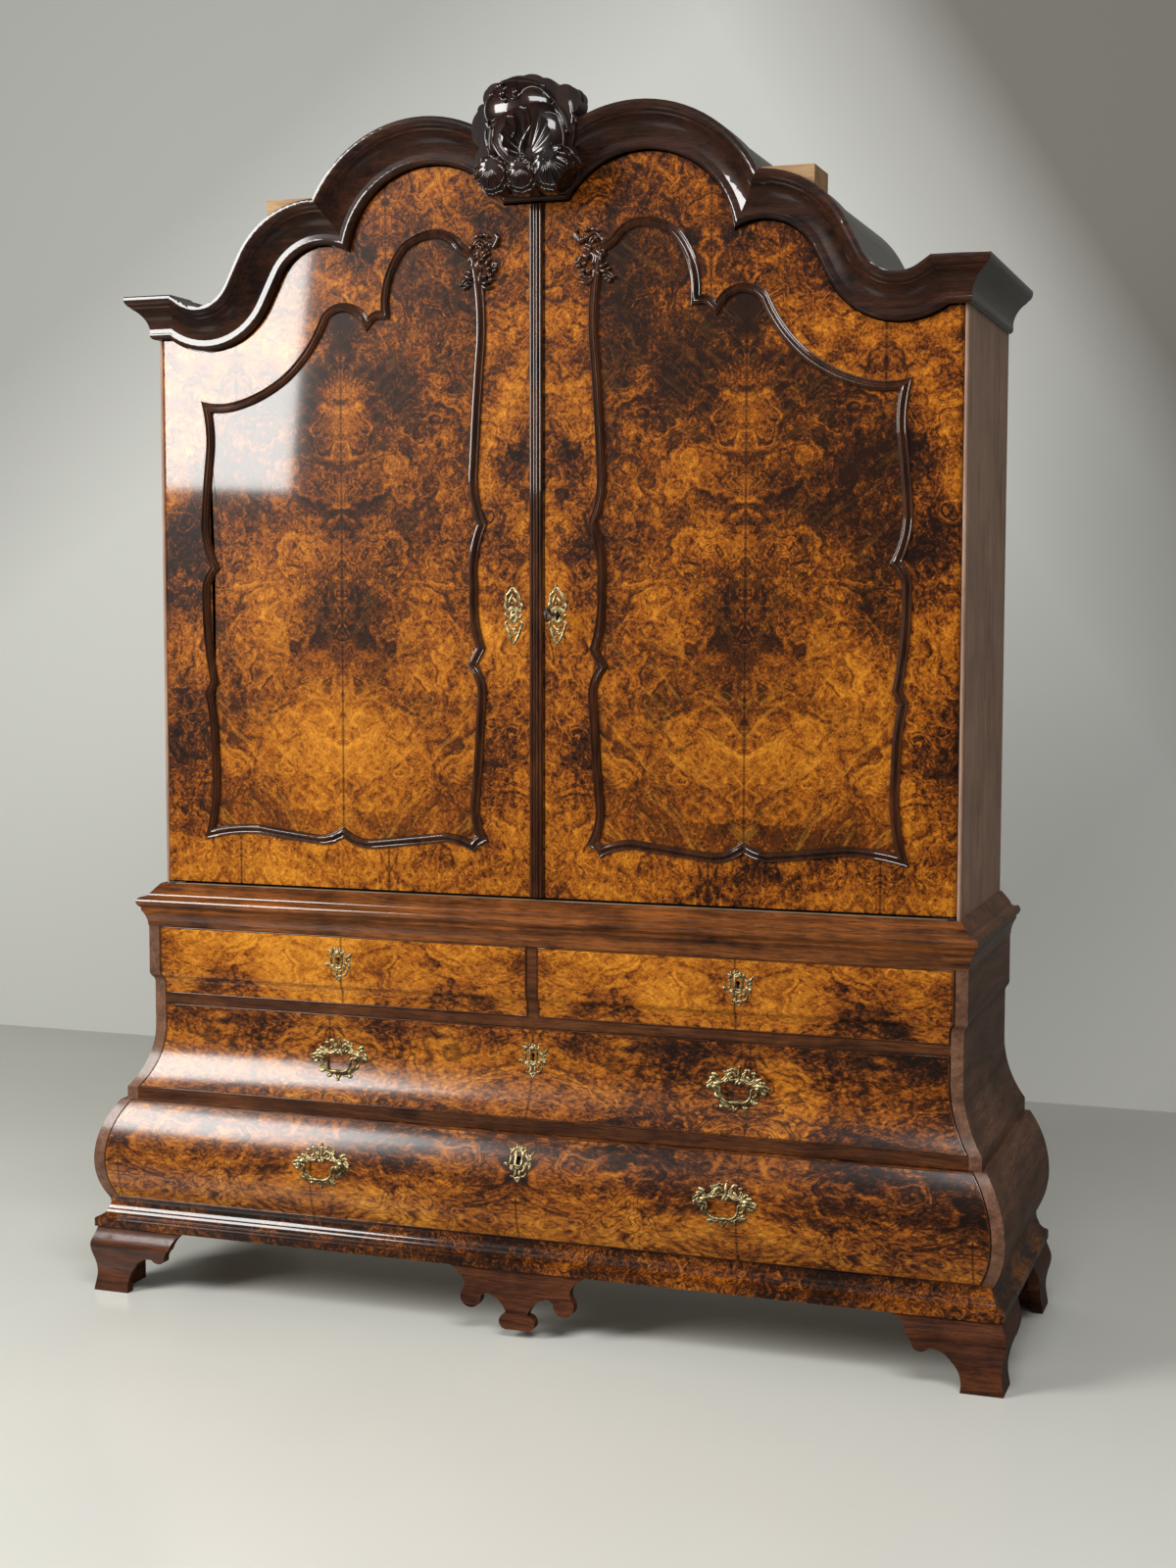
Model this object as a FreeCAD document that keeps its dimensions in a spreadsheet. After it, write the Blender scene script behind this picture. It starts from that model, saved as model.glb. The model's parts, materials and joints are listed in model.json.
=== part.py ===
import FreeCAD, Part
import math
import os

# A walnut cupboard in two cases: drawers below in a swelling case, two doors above under an arched
# cornice. Millimetres, +Z up, front towards -Y. Every piece is drawn with y = 0 on the face of the
# doors and is then moved as a whole, so that the part is centred on the origin.
# "Reach" is how far a surface stands out beyond the plan: forward of the doors' face on the front, and
# beyond plan_half on the sides. Front and sides share each reach, so the corners mitre by themselves.

V = FreeCAD.Vector
os.makedirs("parts", exist_ok=True)
doc = FreeCAD.newDocument("Kas")

SIZES = (
    ("plan_half", 838, "half the width of the plan"),
    ("case_depth", 473, "face of the doors to the outside of the back"),
    ("foot_rise", 138, "height of the bracket feet"),
    ("base_rise", 60, "height of the base moulding"),
    ("bottom_open", 207, "height of the bottom drawer opening"),
    ("band_rise", 26, "height of the band over the bottom drawer"),
    ("middle_open", 177, "height of the middle drawer opening"),
    ("rail_rise", 20, "height of the rail under the small drawers"),
    ("small_open", 145, "height of the small drawer openings"),
    ("waist_rise", 89, "height of the waist moulding"),
    ("door_rise", 1140, "waist moulding to the flat underside of the cornice"),
    ("cornice_rise", 84, "height of the cornice moulding"),
    ("board", 24, "thickness of the case sides"),
    ("back_board", 15, "thickness of the backs"),
    ("floor_board", 20, "thickness of floors and shelves"),
    ("seat_gap", 0.3, "gap at a glued curved seat"),
    ("frieze_reach", 32, "reach of the case beside the small drawers"),
    ("neck_reach", 23.5, "reach at the neck under the small drawers"),
    ("band_reach", 68, "reach of the band"),
    ("belly_top_reach", 78.8, "reach of the belly under the band"),
    ("belly_reach", 120.3, "greatest reach of the belly"),
    ("belly_foot_reach", 98, "reach of the belly on the base moulding"),
    ("upper_reach", 9.3, "reach of the upper case sides"),
    ("belly_up", 82, "height of the widest point over the base moulding"),
    ("neck_up", 129, "height of the neck over the band"),
    ("cove_down", 99, "small drawers' straight face, from their top"),
    ("cove_rise", 22, "height of the hollow under that face"),
    ("base_inner_reach", 60, "reach of the back of the base moulding"),
    ("door_thick", 28, "thickness of the doors"),
    ("door_foot_gap", 6, "gap under the doors"),
    ("door_head_gap", 3, "gap over the doors"),
    ("door_edge_reach", 1, "reach of the doors' hinge edge"),
    ("meeting_x", 15, "middle of the gap between the doors"),
    ("meeting_half", 1, "half that gap"),
    ("pivot_inset", 8, "pivot axis from the door's edge and from its face"),
    ("pivot_radius", 4, "radius of the pivot pins"),
    ("pivot_depth", 12, "how far a pin stands in the door"),
    ("running", 0.05, "running clearance on a radius"),
    ("pivot_plate", 3, "thickness of a pivot plate"),
    ("bead_wide", 8, "width of the bead beside a door"),
    ("bead_setback", 4, "bead behind the doors' face"),
    ("arch_middle", 66.9, "half the flat between the main arcs, behind the crest"),
    ("main_in", 616, "main arc's centre from the plan's edge"),
    ("main_up", 134, "main arc's centre over the flat underside"),
    ("main_radius", 184, "radius of the main arc's underside"),
    ("lobe_in", 380, "side lobe's centre from the plan's edge"),
    ("lobe_up", 64, "side lobe's centre over the flat underside"),
    ("lobe_radius", 110, "radius of the side lobe's underside"),
    ("dip_in", 114, "hollow's centre from the plan's edge"),
    ("dip_start", 26.3, "start of the hollow from the plan's edge"),
    ("dip_radius", 156, "radius of the hollow's underside"),
    ("reveal", 28, "depth of the cornice behind the doors' face"),
    ("roof_down", 4, "roof's outside under the cornice's top edge"),
    ("roof_board", 14, "thickness of the roof"),
    ("stand_top", 260, "top of the vase stands over the flat underside"),
    ("drawer_gap", 1, "gap over and under a drawer front"),
    ("drawer_side_gap", 1.5, "gap beside a drawer front"),
    ("front_thick", 24, "thickness of a drawer front"),
    ("front_proud", 1.5, "drawer fronts stand out of the case by this"),
    ("drawer_board", 12, "thickness of a drawer's sides, back and bottom"),
    ("runner_gap", 0.5, "a drawer over its runner"),
    ("drawer_back_room", 18, "room behind a drawer"),
    ("stile_half", 10, "half the stile between the small drawers"),
    ("plate_thick", 2.5, "thickness of the brass plates"),
    ("mount_x", 426, "handles and small escutcheons from the centre"),
    ("post_half", 43, "half the distance between a bail's posts"),
    ("post_head", 6.5, "radius of the round heads of the posts"),
    ("standoff", 14, "bail axis in front of the drawer"),
    ("bail_drop", 31, "hang of a bail under its axis"),
    ("wire_radius", 3, "radius of a bail's wire"),
    ("swell_radius", 4.5, "radius of the swelling in the middle of a bail"),
    ("bail_tilt", 9, "a hanging bail leans out by this angle"),
    ("moulding_wide", 20, "width of the door panel mouldings"),
    ("moulding_thick", 10, "relief of the door panel mouldings"),
    ("key_x", 43, "key from the centre"),
    ("key_up", 570, "key over the waist moulding"),
    ("key_radius", 3.5, "radius of the key's shank"),
    ("lock_wide", 68, "width of the rim lock"),
    ("lock_high", 110, "height of the rim lock"),
    ("lock_thick", 18, "thickness of the rim lock"),
    ("bolt_half", 12, "half the height of the lock bolt"),
    ("shelf_front", 60, "front of the shelves behind the doors' face"),
    ("shelf_1", 318, "lower shelf over the waist moulding"),
    ("shelf_2", 618, "middle shelf over the waist moulding"),
    ("shelf_3", 898, "upper shelf over the waist moulding"),
    ("bearer", 20, "width and height of a shelf bearer"),
)


class Length(float):
    """A number that remembers the spreadsheet expression it comes from."""

    def __new__(cls, value, text=None):
        item = float.__new__(cls, value)
        item.text = text or repr(float(value))
        return item

    def __add__(self, other):
        return Length(float(self) + float(other), f"({self.text} + {text_of(other)})")

    def __sub__(self, other):
        return Length(float(self) - float(other), f"({self.text} - {text_of(other)})")

    def __mul__(self, other):
        return Length(float(self) * float(other), f"({self.text} * {text_of(other)})")

    def __truediv__(self, other):
        return Length(float(self) / float(other), f"({self.text} / {text_of(other)})")

    def __neg__(self):
        return Length(-float(self), f"(0 - {self.text})")

    def __rsub__(self, other):
        return Length(float(other) - float(self), f"({text_of(other)} - {self.text})")

    __radd__ = __add__
    __rmul__ = __mul__


def text_of(value):
    return value.text if isinstance(value, Length) else repr(float(value))


class Named:
    """The named sizes, one attribute each."""


S = Named()
sheet = doc.addObject("Spreadsheet::Sheet", "Sizes")
for row, (name, value, meaning) in enumerate(SIZES, 1):
    sheet.set(f"A{row}", str(value))
    sheet.set(f"B{row}", meaning)
    sheet.setAlias(f"A{row}", name)
    setattr(S, name, Length(value, f"Sizes.{name}"))
doc.recompute()

TOUCH = 1e-6
NODES = []

# Heights of the joints between the pieces.
Z_BASE = S.foot_rise
Z_CASE = Z_BASE + S.base_rise
Z_BAND = Z_CASE + S.bottom_open
Z_MIDDLE = Z_BAND + S.band_rise
Z_RAIL = Z_MIDDLE + S.middle_open
Z_SMALL = Z_RAIL + S.rail_rise
Z_TOP = Z_SMALL + S.small_open
Z_WAIST = Z_TOP + S.waist_rise
Z_CORNICE = Z_WAIST + S.door_rise
Z_KEY = Z_WAIST + S.key_up
Y_BACK = S.case_depth
Y_INNER_BACK = S.case_depth - S.back_board


# ---- outlines: a path is a list of elements; two points are a line, three an arc, more a spline ----

def gap(p, q):
    return math.hypot(p[0] - q[0], p[1] - q[1])


def lines(*points):
    return [[p, q] for p, q in zip(points, points[1:])]


def backwards(path):
    return [list(reversed(element)) for element in reversed(path)]


def moved(path, change):
    return [[change(*point) for point in element] for element in path]


def joined(*runs):
    """One closed outline from open runs, with straight lines across the gaps."""
    path = []
    for run in runs:
        for element in run:
            if path and gap(path[-1][-1], element[0]) > TOUCH:
                path.append([path[-1][-1], element[0]])
            path.append(element)
    if gap(path[-1][-1], path[0][0]) > TOUCH:
        path.append([path[-1][-1], path[0][0]])
    return path


def rectangle(u0, v0, u1, v1):
    return lines((u0, v0), (u1, v0), (u1, v1), (u0, v1), (u0, v0))


def circle(u, v, radius):
    return [Part.Circle(V(u, v, 0), V(0, 0, 1), radius)]


def bowed(points, bow):
    """Arcs from point to point, each bowed to its left by the given height."""
    path = []
    for p, q in zip(points, points[1:]):
        shift = bow / gap(p, q)
        middle = ((p[0] + q[0]) / 2 - (q[1] - p[1]) * shift, (p[1] + q[1]) / 2 + (q[0] - p[0]) * shift)
        path.append([p, middle, q])
    return path


def arc_about(centre, radius, start, end):
    """An arc round a centre, by the shorter way."""
    aim = ((start[0] + end[0]) / 2 - centre[0], (start[1] + end[1]) / 2 - centre[1])
    size = math.hypot(*aim)
    return [start, (centre[0] + radius * aim[0] / size, centre[1] + radius * aim[1] / size), end]


def keyhole(u, v, radius, drop):
    half = radius * 0.55
    under = v - math.sqrt(radius**2 - half**2)
    return [
        [(u - half, under), (u, v + radius), (u + half, under)],
        [(u + half, under), (u + half, v - drop)],
        [(u + half, v - drop), (u - half, v - drop)],
        [(u - half, v - drop), (u - half, under)],
    ]


def curve(points):
    if isinstance(points, Part.Circle):
        return points
    ends = [V(u, v, 0) for u, v in points]
    if len(ends) == 2:
        return Part.LineSegment(*ends)
    if len(ends) == 3:
        return Part.Arc(*ends)
    spline = Part.BSplineCurve()
    spline.interpolate(ends)
    return spline


def wire(path, place):
    """A wire in space; place turns a point of the path into a vector."""
    edges = []
    for element in path:
        points = [place(u, v) for u, v in element]
        if len(points) == 2:
            edges.append(Part.LineSegment(*points).toShape())
        elif len(points) == 3:
            edges.append(Part.Arc(*points).toShape())
        else:
            spline = Part.BSplineCurve()
            spline.interpolate(points)
            edges.append(spline.toShape())
    return Part.Wire(edges)


# ---- document helpers ----

def bind(item, prop, value):
    """Gives a property its value, by expression where the value comes from the sheet."""
    item.setExpression(prop, text_of(value))


def new_body(label):
    item = doc.addObject("PartDesign::Body", label)
    item.Label = label
    return item


def sketch(body, plane, offset, path):
    support = [f for f in body.Origin.OriginFeatures if f.Role == plane.upper() + "_Plane"][0]
    item = body.newObject("Sketcher::SketchObject", body.Name + "_sketch")
    item.AttachmentSupport = [(support, "")]
    item.MapMode = "FlatFace"
    bind(item, "AttachmentOffset.Base.z", offset)
    item.addGeometry([curve(element) for element in path], False)
    return item


def pad(body, plane, start, length, *paths):
    """Adds outlines from the coordinate start over a length along +X, +Y or +Z."""
    offset = -start if plane == "xz" else start
    profile = sketch(body, plane, offset, [element for path in paths for element in path])
    feature = body.newObject("PartDesign::Pad", body.Name + "_pad")
    feature.Profile = profile
    feature.Reversed = plane == "xz"
    bind(feature, "Length", length)
    return feature


def pocket(body, plane, path, start=None, length=None):
    """Cuts an outline right through, or from start over a length along the plus axis."""
    offset = Length(0) if start is None else start
    profile = sketch(body, plane, -offset if plane == "xz" else offset, path)
    feature = body.newObject("PartDesign::Pocket", body.Name + "_pocket")
    feature.Profile = profile
    if start is None:
        feature.Type = "ThroughAll"
        feature.Midplane = True
    else:
        feature.Reversed = plane != "xz"
        bind(feature, "Length", length)
    return feature


def box(label, corner, size):
    item = doc.addObject("Part::Box", label)
    for prop, value in zip(("Length", "Width", "Height"), size):
        bind(item, prop, value)
    for axis, value in zip("xyz", corner):
        bind(item, f"Placement.Base.{axis}", value)
    return item


TURNS = {
    "x": FreeCAD.Rotation(V(0, 1, 0), 90),
    "y": FreeCAD.Rotation(V(1, 0, 0), -90),
    "z": FreeCAD.Rotation(),
}


def rod(label, axis, start, radius, length):
    """A cylinder from the point start along +X, +Y or +Z."""
    item = doc.addObject("Part::Cylinder", label)
    item.Placement = FreeCAD.Placement(V(*start), TURNS[axis])
    bind(item, "Radius", radius)
    bind(item, "Height", length)
    for name, value in zip("xyz", start):
        bind(item, f"Placement.Base.{name}", value)
    return item


def ball(label, centre, radii):
    item = doc.addObject("Part::Ellipsoid", label)
    item.Radius1, item.Radius2, item.Radius3 = radii[2], radii[0], radii[1]
    item.Placement.Base = V(*centre)
    return item


def fuse(label, *items):
    item = doc.addObject("Part::MultiFuse", label)
    item.Shapes = list(items)
    return item


def cut(label, base, tool):
    item = doc.addObject("Part::Cut", label)
    item.Base = base
    item.Tool = tool
    return item


def common(label, base, tool):
    item = doc.addObject("Part::Common", label)
    item.Base = base
    item.Tool = tool
    return item


def shaped(label, shape):
    item = doc.addObject("Part::Feature", label)
    item.Shape = shape
    return item


def node(label, item, at=None):
    """Names a finished piece and moves it from the doors' face to the part's frame."""
    item.Label = label
    x, y, z = at or (0, 0, 0)
    bind(item, "Placement.Base.x", x)
    bind(item, "Placement.Base.y", y + DOOR_Y)
    bind(item, "Placement.Base.z", z)
    NODES.append(item)
    return item


def outward(side, near, far):
    """Start and length along +X of what lies from near to far on the given side."""
    return (near if side > 0 else -far), far - near


# ---- the swelling profile of the lower case: reach against height ----

def leaving(low, high, upright):
    """Arc between two points of the profile that is upright at one of them."""
    other = low if upright is high else high
    run = other[0] - upright[0]
    radius = (run**2 + (other[1] - upright[1]) ** 2) / (2 * run)
    return low, high, (upright[0] + radius, upright[1])


def profile():
    foot = (S.belly_foot_reach, Z_CASE)
    belly = (S.belly_reach, Z_CASE + S.belly_up)
    under_band = (S.belly_top_reach, Z_BAND)
    band_low, band_high = (S.band_reach, Z_BAND), (S.band_reach, Z_MIDDLE)
    neck = (S.neck_reach, Z_MIDDLE + S.neck_up)
    face = (S.frieze_reach, Z_TOP - S.cove_down)
    cove = (S.neck_reach, face[1] - S.cove_rise)
    turn = (cove[0] + (face[0] - cove[0]) * 0.53, cove[1] + S.cove_rise * 0.55)
    return [
        leaving(foot, belly, belly),
        leaving(belly, under_band, belly),
        (band_low, band_high, None),
        leaving(band_high, neck, neck),
        (neck, cove, None),
        leaving(cove, turn, cove),
        leaving(turn, face, face),
        (face, (S.frieze_reach, Z_TOP), None),
    ]


PROFILE = profile()


def reach_on(segment, z):
    low, high, centre = segment
    if centre is None:
        return low[0] + (high[0] - low[0]) * (z - low[1]) / (high[1] - low[1])
    radius = gap(low, centre)
    side = 1 if low[0] + high[0] > 2 * centre[0] else -1
    return centre[0] + side * math.sqrt(max(radius**2 - (z - centre[1]) ** 2, 0))


def reach(z):
    """Reach of the lower case's surface at a height."""
    for segment in PROFILE:
        if segment[0][1] <= z <= segment[1][1]:
            return float(reach_on(segment, z))
    raise ValueError(z)


def surface(z0, z1, shift=0.0):
    """Run of the profile from z0 up to z1, moved outward by shift."""
    run = []
    for segment in PROFILE:
        low, high = max(segment[0][1], z0), min(segment[1][1], z1)
        if high - low < TOUCH:
            continue
        heights = [low, high] if segment[2] is None else [low, (low + high) / 2, high]
        run.append([(float(reach_on(segment, z) + shift), float(z)) for z in heights])
    return run


def on_front(run):
    return moved(run, lambda q, z: (-q, z))


def on_side(run, side):
    return moved(run, lambda q, z: (side * (S.plan_half + q), z))


# ---- the arched outline of the cornice, moved outward by n ----

def arch_points(n, end):
    dip_up = math.sqrt(S.dip_radius**2 - (S.dip_in - S.dip_start) ** 2)
    main = (S.plan_half - S.main_in, Z_CORNICE + S.main_up)
    lobe = (S.plan_half - S.lobe_in, Z_CORNICE + S.lobe_up)
    dip = (S.plan_half - S.dip_in, Z_CORNICE + dip_up)
    main_r, lobe_r, dip_r = S.main_radius + n, S.lobe_radius + n, S.dip_radius - n
    flat = main[1] + math.sqrt(S.main_radius**2 - (main[0] - S.arch_middle) ** 2) + n
    first = (main[0] - math.sqrt(main_r**2 - (flat - main[1]) ** 2), flat)
    apart = gap(main, lobe)
    along = (main_r**2 - lobe_r**2 + apart**2) / (2 * apart)
    off = math.sqrt(main_r**2 - along**2)
    ux, uz = (lobe[0] - main[0]) / apart, (lobe[1] - main[1]) / apart
    second = (main[0] + along * ux - off * uz, main[1] + along * uz + off * ux)
    angle = math.atan2(dip[1] - lobe[1], dip[0] - lobe[0]) + math.acos((lobe_r + dip_r) / gap(lobe, dip))
    third = (lobe[0] + lobe_r * math.cos(angle), lobe[1] + lobe_r * math.sin(angle))
    fourth = (dip[0] - dip_r * math.cos(angle), dip[1] - dip_r * math.sin(angle))
    fifth = (dip[0] + math.sqrt(dip_r**2 - (dip_up - n) ** 2), Z_CORNICE + n)
    return [
        [first, arc_about(main, main_r, first, second)[1], second],
        [second, arc_about(lobe, lobe_r, second, third)[1], third],
        [third, fourth],
        [fourth, arc_about(dip, dip_r, fourth, fifth)[1], fifth],
        [fifth, (end, Z_CORNICE + n)],
    ]


def arch(n, end, side=0):
    """The arched outline on one side, or over both from left to right."""
    right = [[(float(u), float(v)) for u, v in element] for element in arch_points(n, end)]
    left = moved(right, lambda u, v: (-u, v))
    if side:
        return right if side > 0 else left
    return backwards(left) + [[left[0][0], right[0][0]]] + right


# The foremost point is the bail of the bottom drawer; it and the back are equally far from the origin.
Z_BOTTOM_MOUNT = Z_CASE + 118
Z_MIDDLE_MOUNT = Z_MIDDLE + 90
DOOR_FACE_Q = float(S.front_proud)


def bail_axis_reach(z):
    return reach(z) + DOOR_FACE_Q + float(S.standoff)


FRONT_REACH = (
    bail_axis_reach(Z_BOTTOM_MOUNT)
    + (float(S.bail_drop) - float(S.wire_radius)) * math.sin(math.radians(S.bail_tilt))
    + float(S.swell_radius)
)
DOOR_Y = (Length(FRONT_REACH) - S.case_depth) / 2


# ---- lower case ----

FAR = 200


def lower_side(side):
    body = new_body("lower_side_left" if side < 0 else "lower_side_right")
    skin = joined(
        on_side(surface(Z_CASE, Z_TOP), side),
        backwards(on_side(surface(Z_CASE, Z_TOP, -S.board), side)),
    )
    pad(body, "xz", Length(-FAR), Y_BACK + FAR, skin)
    front = on_front(surface(Z_CASE, Z_TOP))
    ahead = lines((-FAR - 10, Z_TOP + 10), (-FAR - 10, Z_CASE - 10))
    pocket(body, "yz", joined(front, [[front[-1][-1], (front[-1][-1][0], Z_TOP + 10)]], ahead,
                              [[(-FAR - 10, Z_CASE - 10), (front[0][0][0], Z_CASE - 10)]]))
    node(body.Label, body)


def between_sides(z0, z1, inset):
    """Outline that fills the room between the lower case's sides."""
    run = surface(z0, z1, -S.board - inset)
    return joined(on_side(run, 1), backwards(on_side(run, -1)))


def lower_back():
    body = new_body("lower_back")
    pad(body, "xz", Y_INNER_BACK, S.back_board, between_sides(Z_CASE, Z_TOP, S.seat_gap))
    node("lower_back", body)


def full_width(label, half, y0, y1, z0, z1):
    return box(label, (-half, y0, z0), (half * 2, y1 - y0, z1 - z0))


def board_node(label, half, y0, y1, z0, z1):
    node(label, full_width(label + "_board", half, y0, y1, z0, z1), (-half, y0, z0))


def boards_of_lower_case():
    board_node("lower_top", S.plan_half + S.floor_board, -S.floor_board, Y_BACK, Z_TOP, Z_TOP + S.floor_board)
    half = S.plan_half + S.base_inner_reach
    board_node("lower_bottom", half, -S.base_inner_reach, Y_BACK, Z_CASE - 18, Z_CASE)


def drawer_rails():
    half = S.plan_half + S.band_reach - S.board
    band = full_width("band_rail", half, -S.band_reach, -S.band_reach + 60, Z_BAND, Z_MIDDLE)
    half = S.plan_half + S.neck_reach - S.board
    rail = full_width("small_rail", half, -S.neck_reach, -S.neck_reach + 60, Z_RAIL, Z_SMALL)
    stile = new_body("stile")
    face = on_front(surface(Z_SMALL, Z_TOP))
    pad(stile, "yz", -S.stile_half, S.stile_half * 2, joined(face, lines((35, Z_TOP), (35, Z_SMALL))))
    node("drawer_rails", fuse("drawer_rails", band, rail, stile))


def drawer_runners():
    pieces = []
    wide_half = S.plan_half + S.band_reach - S.board
    small_half = S.plan_half + S.neck_reach - S.board
    back = Y_INNER_BACK - 1
    for side in (-1, 1):
        start, length = outward(side, wide_half - 95, wide_half)
        low = -S.band_reach + 60
        pieces.append(box("middle_runner", (start, low, Z_MIDDLE - 20), (length, back - low, Length(20))))
        start, length = outward(side, small_half - 50, small_half)
        low = -S.neck_reach + 60
        pieces.append(box("small_runner", (start, low, Z_SMALL - 20), (length, back - low, Length(20))))
    low = -S.neck_reach + 60
    bearer_size = (Length(90), back - low, Length(20))
    pieces.append(box("middle_bearer", (Length(-45), low, Z_SMALL - 20), bearer_size))
    guide_size = (S.stile_half * 2, back - 35, Length(30))
    guide = box("drawer_guide", (-S.stile_half, Length(35), Z_SMALL), guide_size)
    node("drawer_runners", fuse("drawer_runners", *pieces, guide))


def swept_round(label, section):
    """A moulding along the left side, the front and the right side, mitred at the corners."""
    place = lambda q, z: V(-(S.plan_half + q), Y_BACK, z)
    section_object = shaped(label + "_section", wire(section, place))
    half, back = float(S.plan_half), float(Y_BACK)
    corners = [V(-half, back, 0), V(-half, 0, 0), V(half, 0, 0), V(half, back, 0)]
    spine = shaped(label + "_line", Part.makePolygon(corners))
    moulding = doc.addObject("Part::Sweep", label)
    moulding.Sections = [section_object]
    moulding.Spine = (spine, ["Edge1", "Edge2", "Edge3"])
    moulding.Solid = True
    moulding.Transition = 1
    node(label, moulding)


def waist_moulding():
    inner = S.upper_reach + S.seat_gap
    rebate = Z_TOP + S.floor_board
    top = Z_WAIST
    swept_round("waist_moulding", joined(
        lines((inner, rebate), (inner, top), (13, top)),
        [[(13, top), (20, top - 8), (31, top - 21)], [(31, top - 21), (34, top - 27), (46, top - 28)]],
        [[(46, top - 28), (52, top - 37), (47, top - 47)]],
        lines((47, top - 47), (44, top - 50), (44, top - 56)),
        [[(44, top - 56), (36, top - 72), (33, Z_TOP)]],
        lines((33, Z_TOP), (S.floor_board + S.seat_gap, Z_TOP), (S.floor_board + S.seat_gap, rebate)),
    ))


def base_moulding():
    swept_round("base_moulding", joined(
        lines((S.base_inner_reach, Z_BASE), (121, Z_BASE), (121, Z_BASE + 17), (118, Z_BASE + 19)),
        [[(118, Z_BASE + 19), (107, Z_BASE + 24), (100, Z_BASE + 36)]],
        [[(100, Z_BASE + 36), (96, Z_BASE + 45), (98, Z_CASE)]],
        lines((98, Z_CASE), (S.base_inner_reach, Z_CASE)),
    ))


FOOT_FACE = [(123, 0), (122, 8), (118, 33), (118, 47), (121, 65), (126, 83), (128, 102), (122, 120),
             (116, 138)]
FOOT_SCALLOP = [
    [(42, 0), (40.6, 31), (25, 56)],
    [(25, 56), (8, 73), (-17, 78)],
    [(-17, 78), (-34, 70), (-47, 78)],
    [(-47, 78), (-50, 90), (-60, 102)],
    [(-60, 102), (-69, 123), (-93, 138)],
]
FOOT_THICK = 22


def foot_run(points):
    """Points of the foot's drawing at its real height."""
    return [(u, v * S.foot_rise / 138) for u, v in points]


def foot(side, end):
    """A bracket foot: two mitred brackets and the glue block behind them. end is -1 in front, 1 behind."""
    name = f"foot_{'front' if end < 0 else 'rear'}_{'left' if side < 0 else 'right'}"
    face = [foot_run(FOOT_FACE)]
    scallop = [foot_run(element) for element in FOOT_SCALLOP]
    inner = moved(face, lambda u, v: (u - FOOT_THICK, v))
    outside_x = moved(face, lambda u, v: (side * (S.plan_half + u), v))
    inside_x = moved(inner, lambda u, v: (side * (S.plan_half + u), v))
    outside_y = moved(face, lambda u, v: (-u, v))
    inside_y = moved(inner, lambda u, v: (-u, v))
    corner_y = 0 if end < 0 else Y_BACK - 123
    over = S.foot_rise + 10

    along_x = new_body(name + "_along")
    in_front = moved(scallop, lambda u, v: (side * (S.plan_half + u), v))
    if end < 0:
        pad(along_x, "xz", Length(-150), Length(60), joined(outside_x, backwards(in_front)))
        pocket(along_x, "yz", joined(outside_y, lines(outside_y[-1][-1], (-116, over), (-160, over),
                                                      (-160, -10), (-123, -10), outside_y[0][0])))
        pocket(along_x, "yz", joined(inside_y, lines(inside_y[-1][-1], (FOOT_THICK - 116, over), (-60, over),
                                                     (-60, -10), (FOOT_THICK - 123, -10), inside_y[0][0])))
    else:
        shrunk = moved(inner, lambda u, v: (side * (S.plan_half + u + 5), v))
        pad(along_x, "xz", Y_BACK - FOOT_THICK, Length(FOOT_THICK), joined(shrunk, backwards(in_front)))

    along_y = new_body(name + "_side")
    start, length = outward(side, S.plan_half + 80, S.plan_half + 140)
    if end < 0:
        profile_y = joined(outside_y, backwards(moved(scallop, lambda u, v: (-u, v))))
    else:
        back_run = moved(scallop, lambda u, v: (corner_y + u, v))
        profile_y = joined(lines((Y_BACK, 0), (Y_BACK, S.foot_rise)), backwards(back_run))
    pad(along_y, "yz", start, length, profile_y)
    far, near = side * (S.plan_half + 160), side * (S.plan_half + 60)
    pocket(along_y, "xz", joined(outside_x, lines(outside_x[-1][-1], (side * (S.plan_half + 116), over),
                                                  (far, over), (far, -10),
                                                  (side * (S.plan_half + 123), -10), outside_x[0][0])))
    tail = side * (S.plan_half + 116 - FOOT_THICK)
    heel = side * (S.plan_half + 123 - FOOT_THICK)
    pocket(along_y, "xz", joined(inside_x, lines(inside_x[-1][-1], (tail, over), (near, over),
                                                 (near, -10), (heel, -10), inside_x[0][0])))
    block_x, _ = outward(side, S.plan_half + 45, S.plan_half + 99)
    block_y = Length(-99) if end < 0 else Y_BACK - FOOT_THICK - 54
    block = box(name + "_block", (block_x, block_y, Length(12)), (Length(54), Length(55), S.foot_rise - 12))
    node(name, fuse(name, along_x, along_y, block))


def apron_pendant():
    top = Z_BASE
    half = [
        [(145, top), (123, 122), (112, 105), (117, 88)],
        [(117, 88), (97, 54), (77, 77)],
        [(77, 77), (66, 86), (48, 81), (31, 66), (22, 49)],
        [(22, 49), (38, 33), (18, 17.5)],
    ]
    body = new_body("apron_pendant")
    outline = joined(half, backwards(moved(half, lambda u, v: (-u, v))))
    pad(body, "xz", Length(-117), Length(20), outline)
    pad(body, "xz", Length(-98), Length(30), rectangle(-60, top - 26, 60, top))
    node("apron_pendant", body)


# ---- upper case ----

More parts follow.
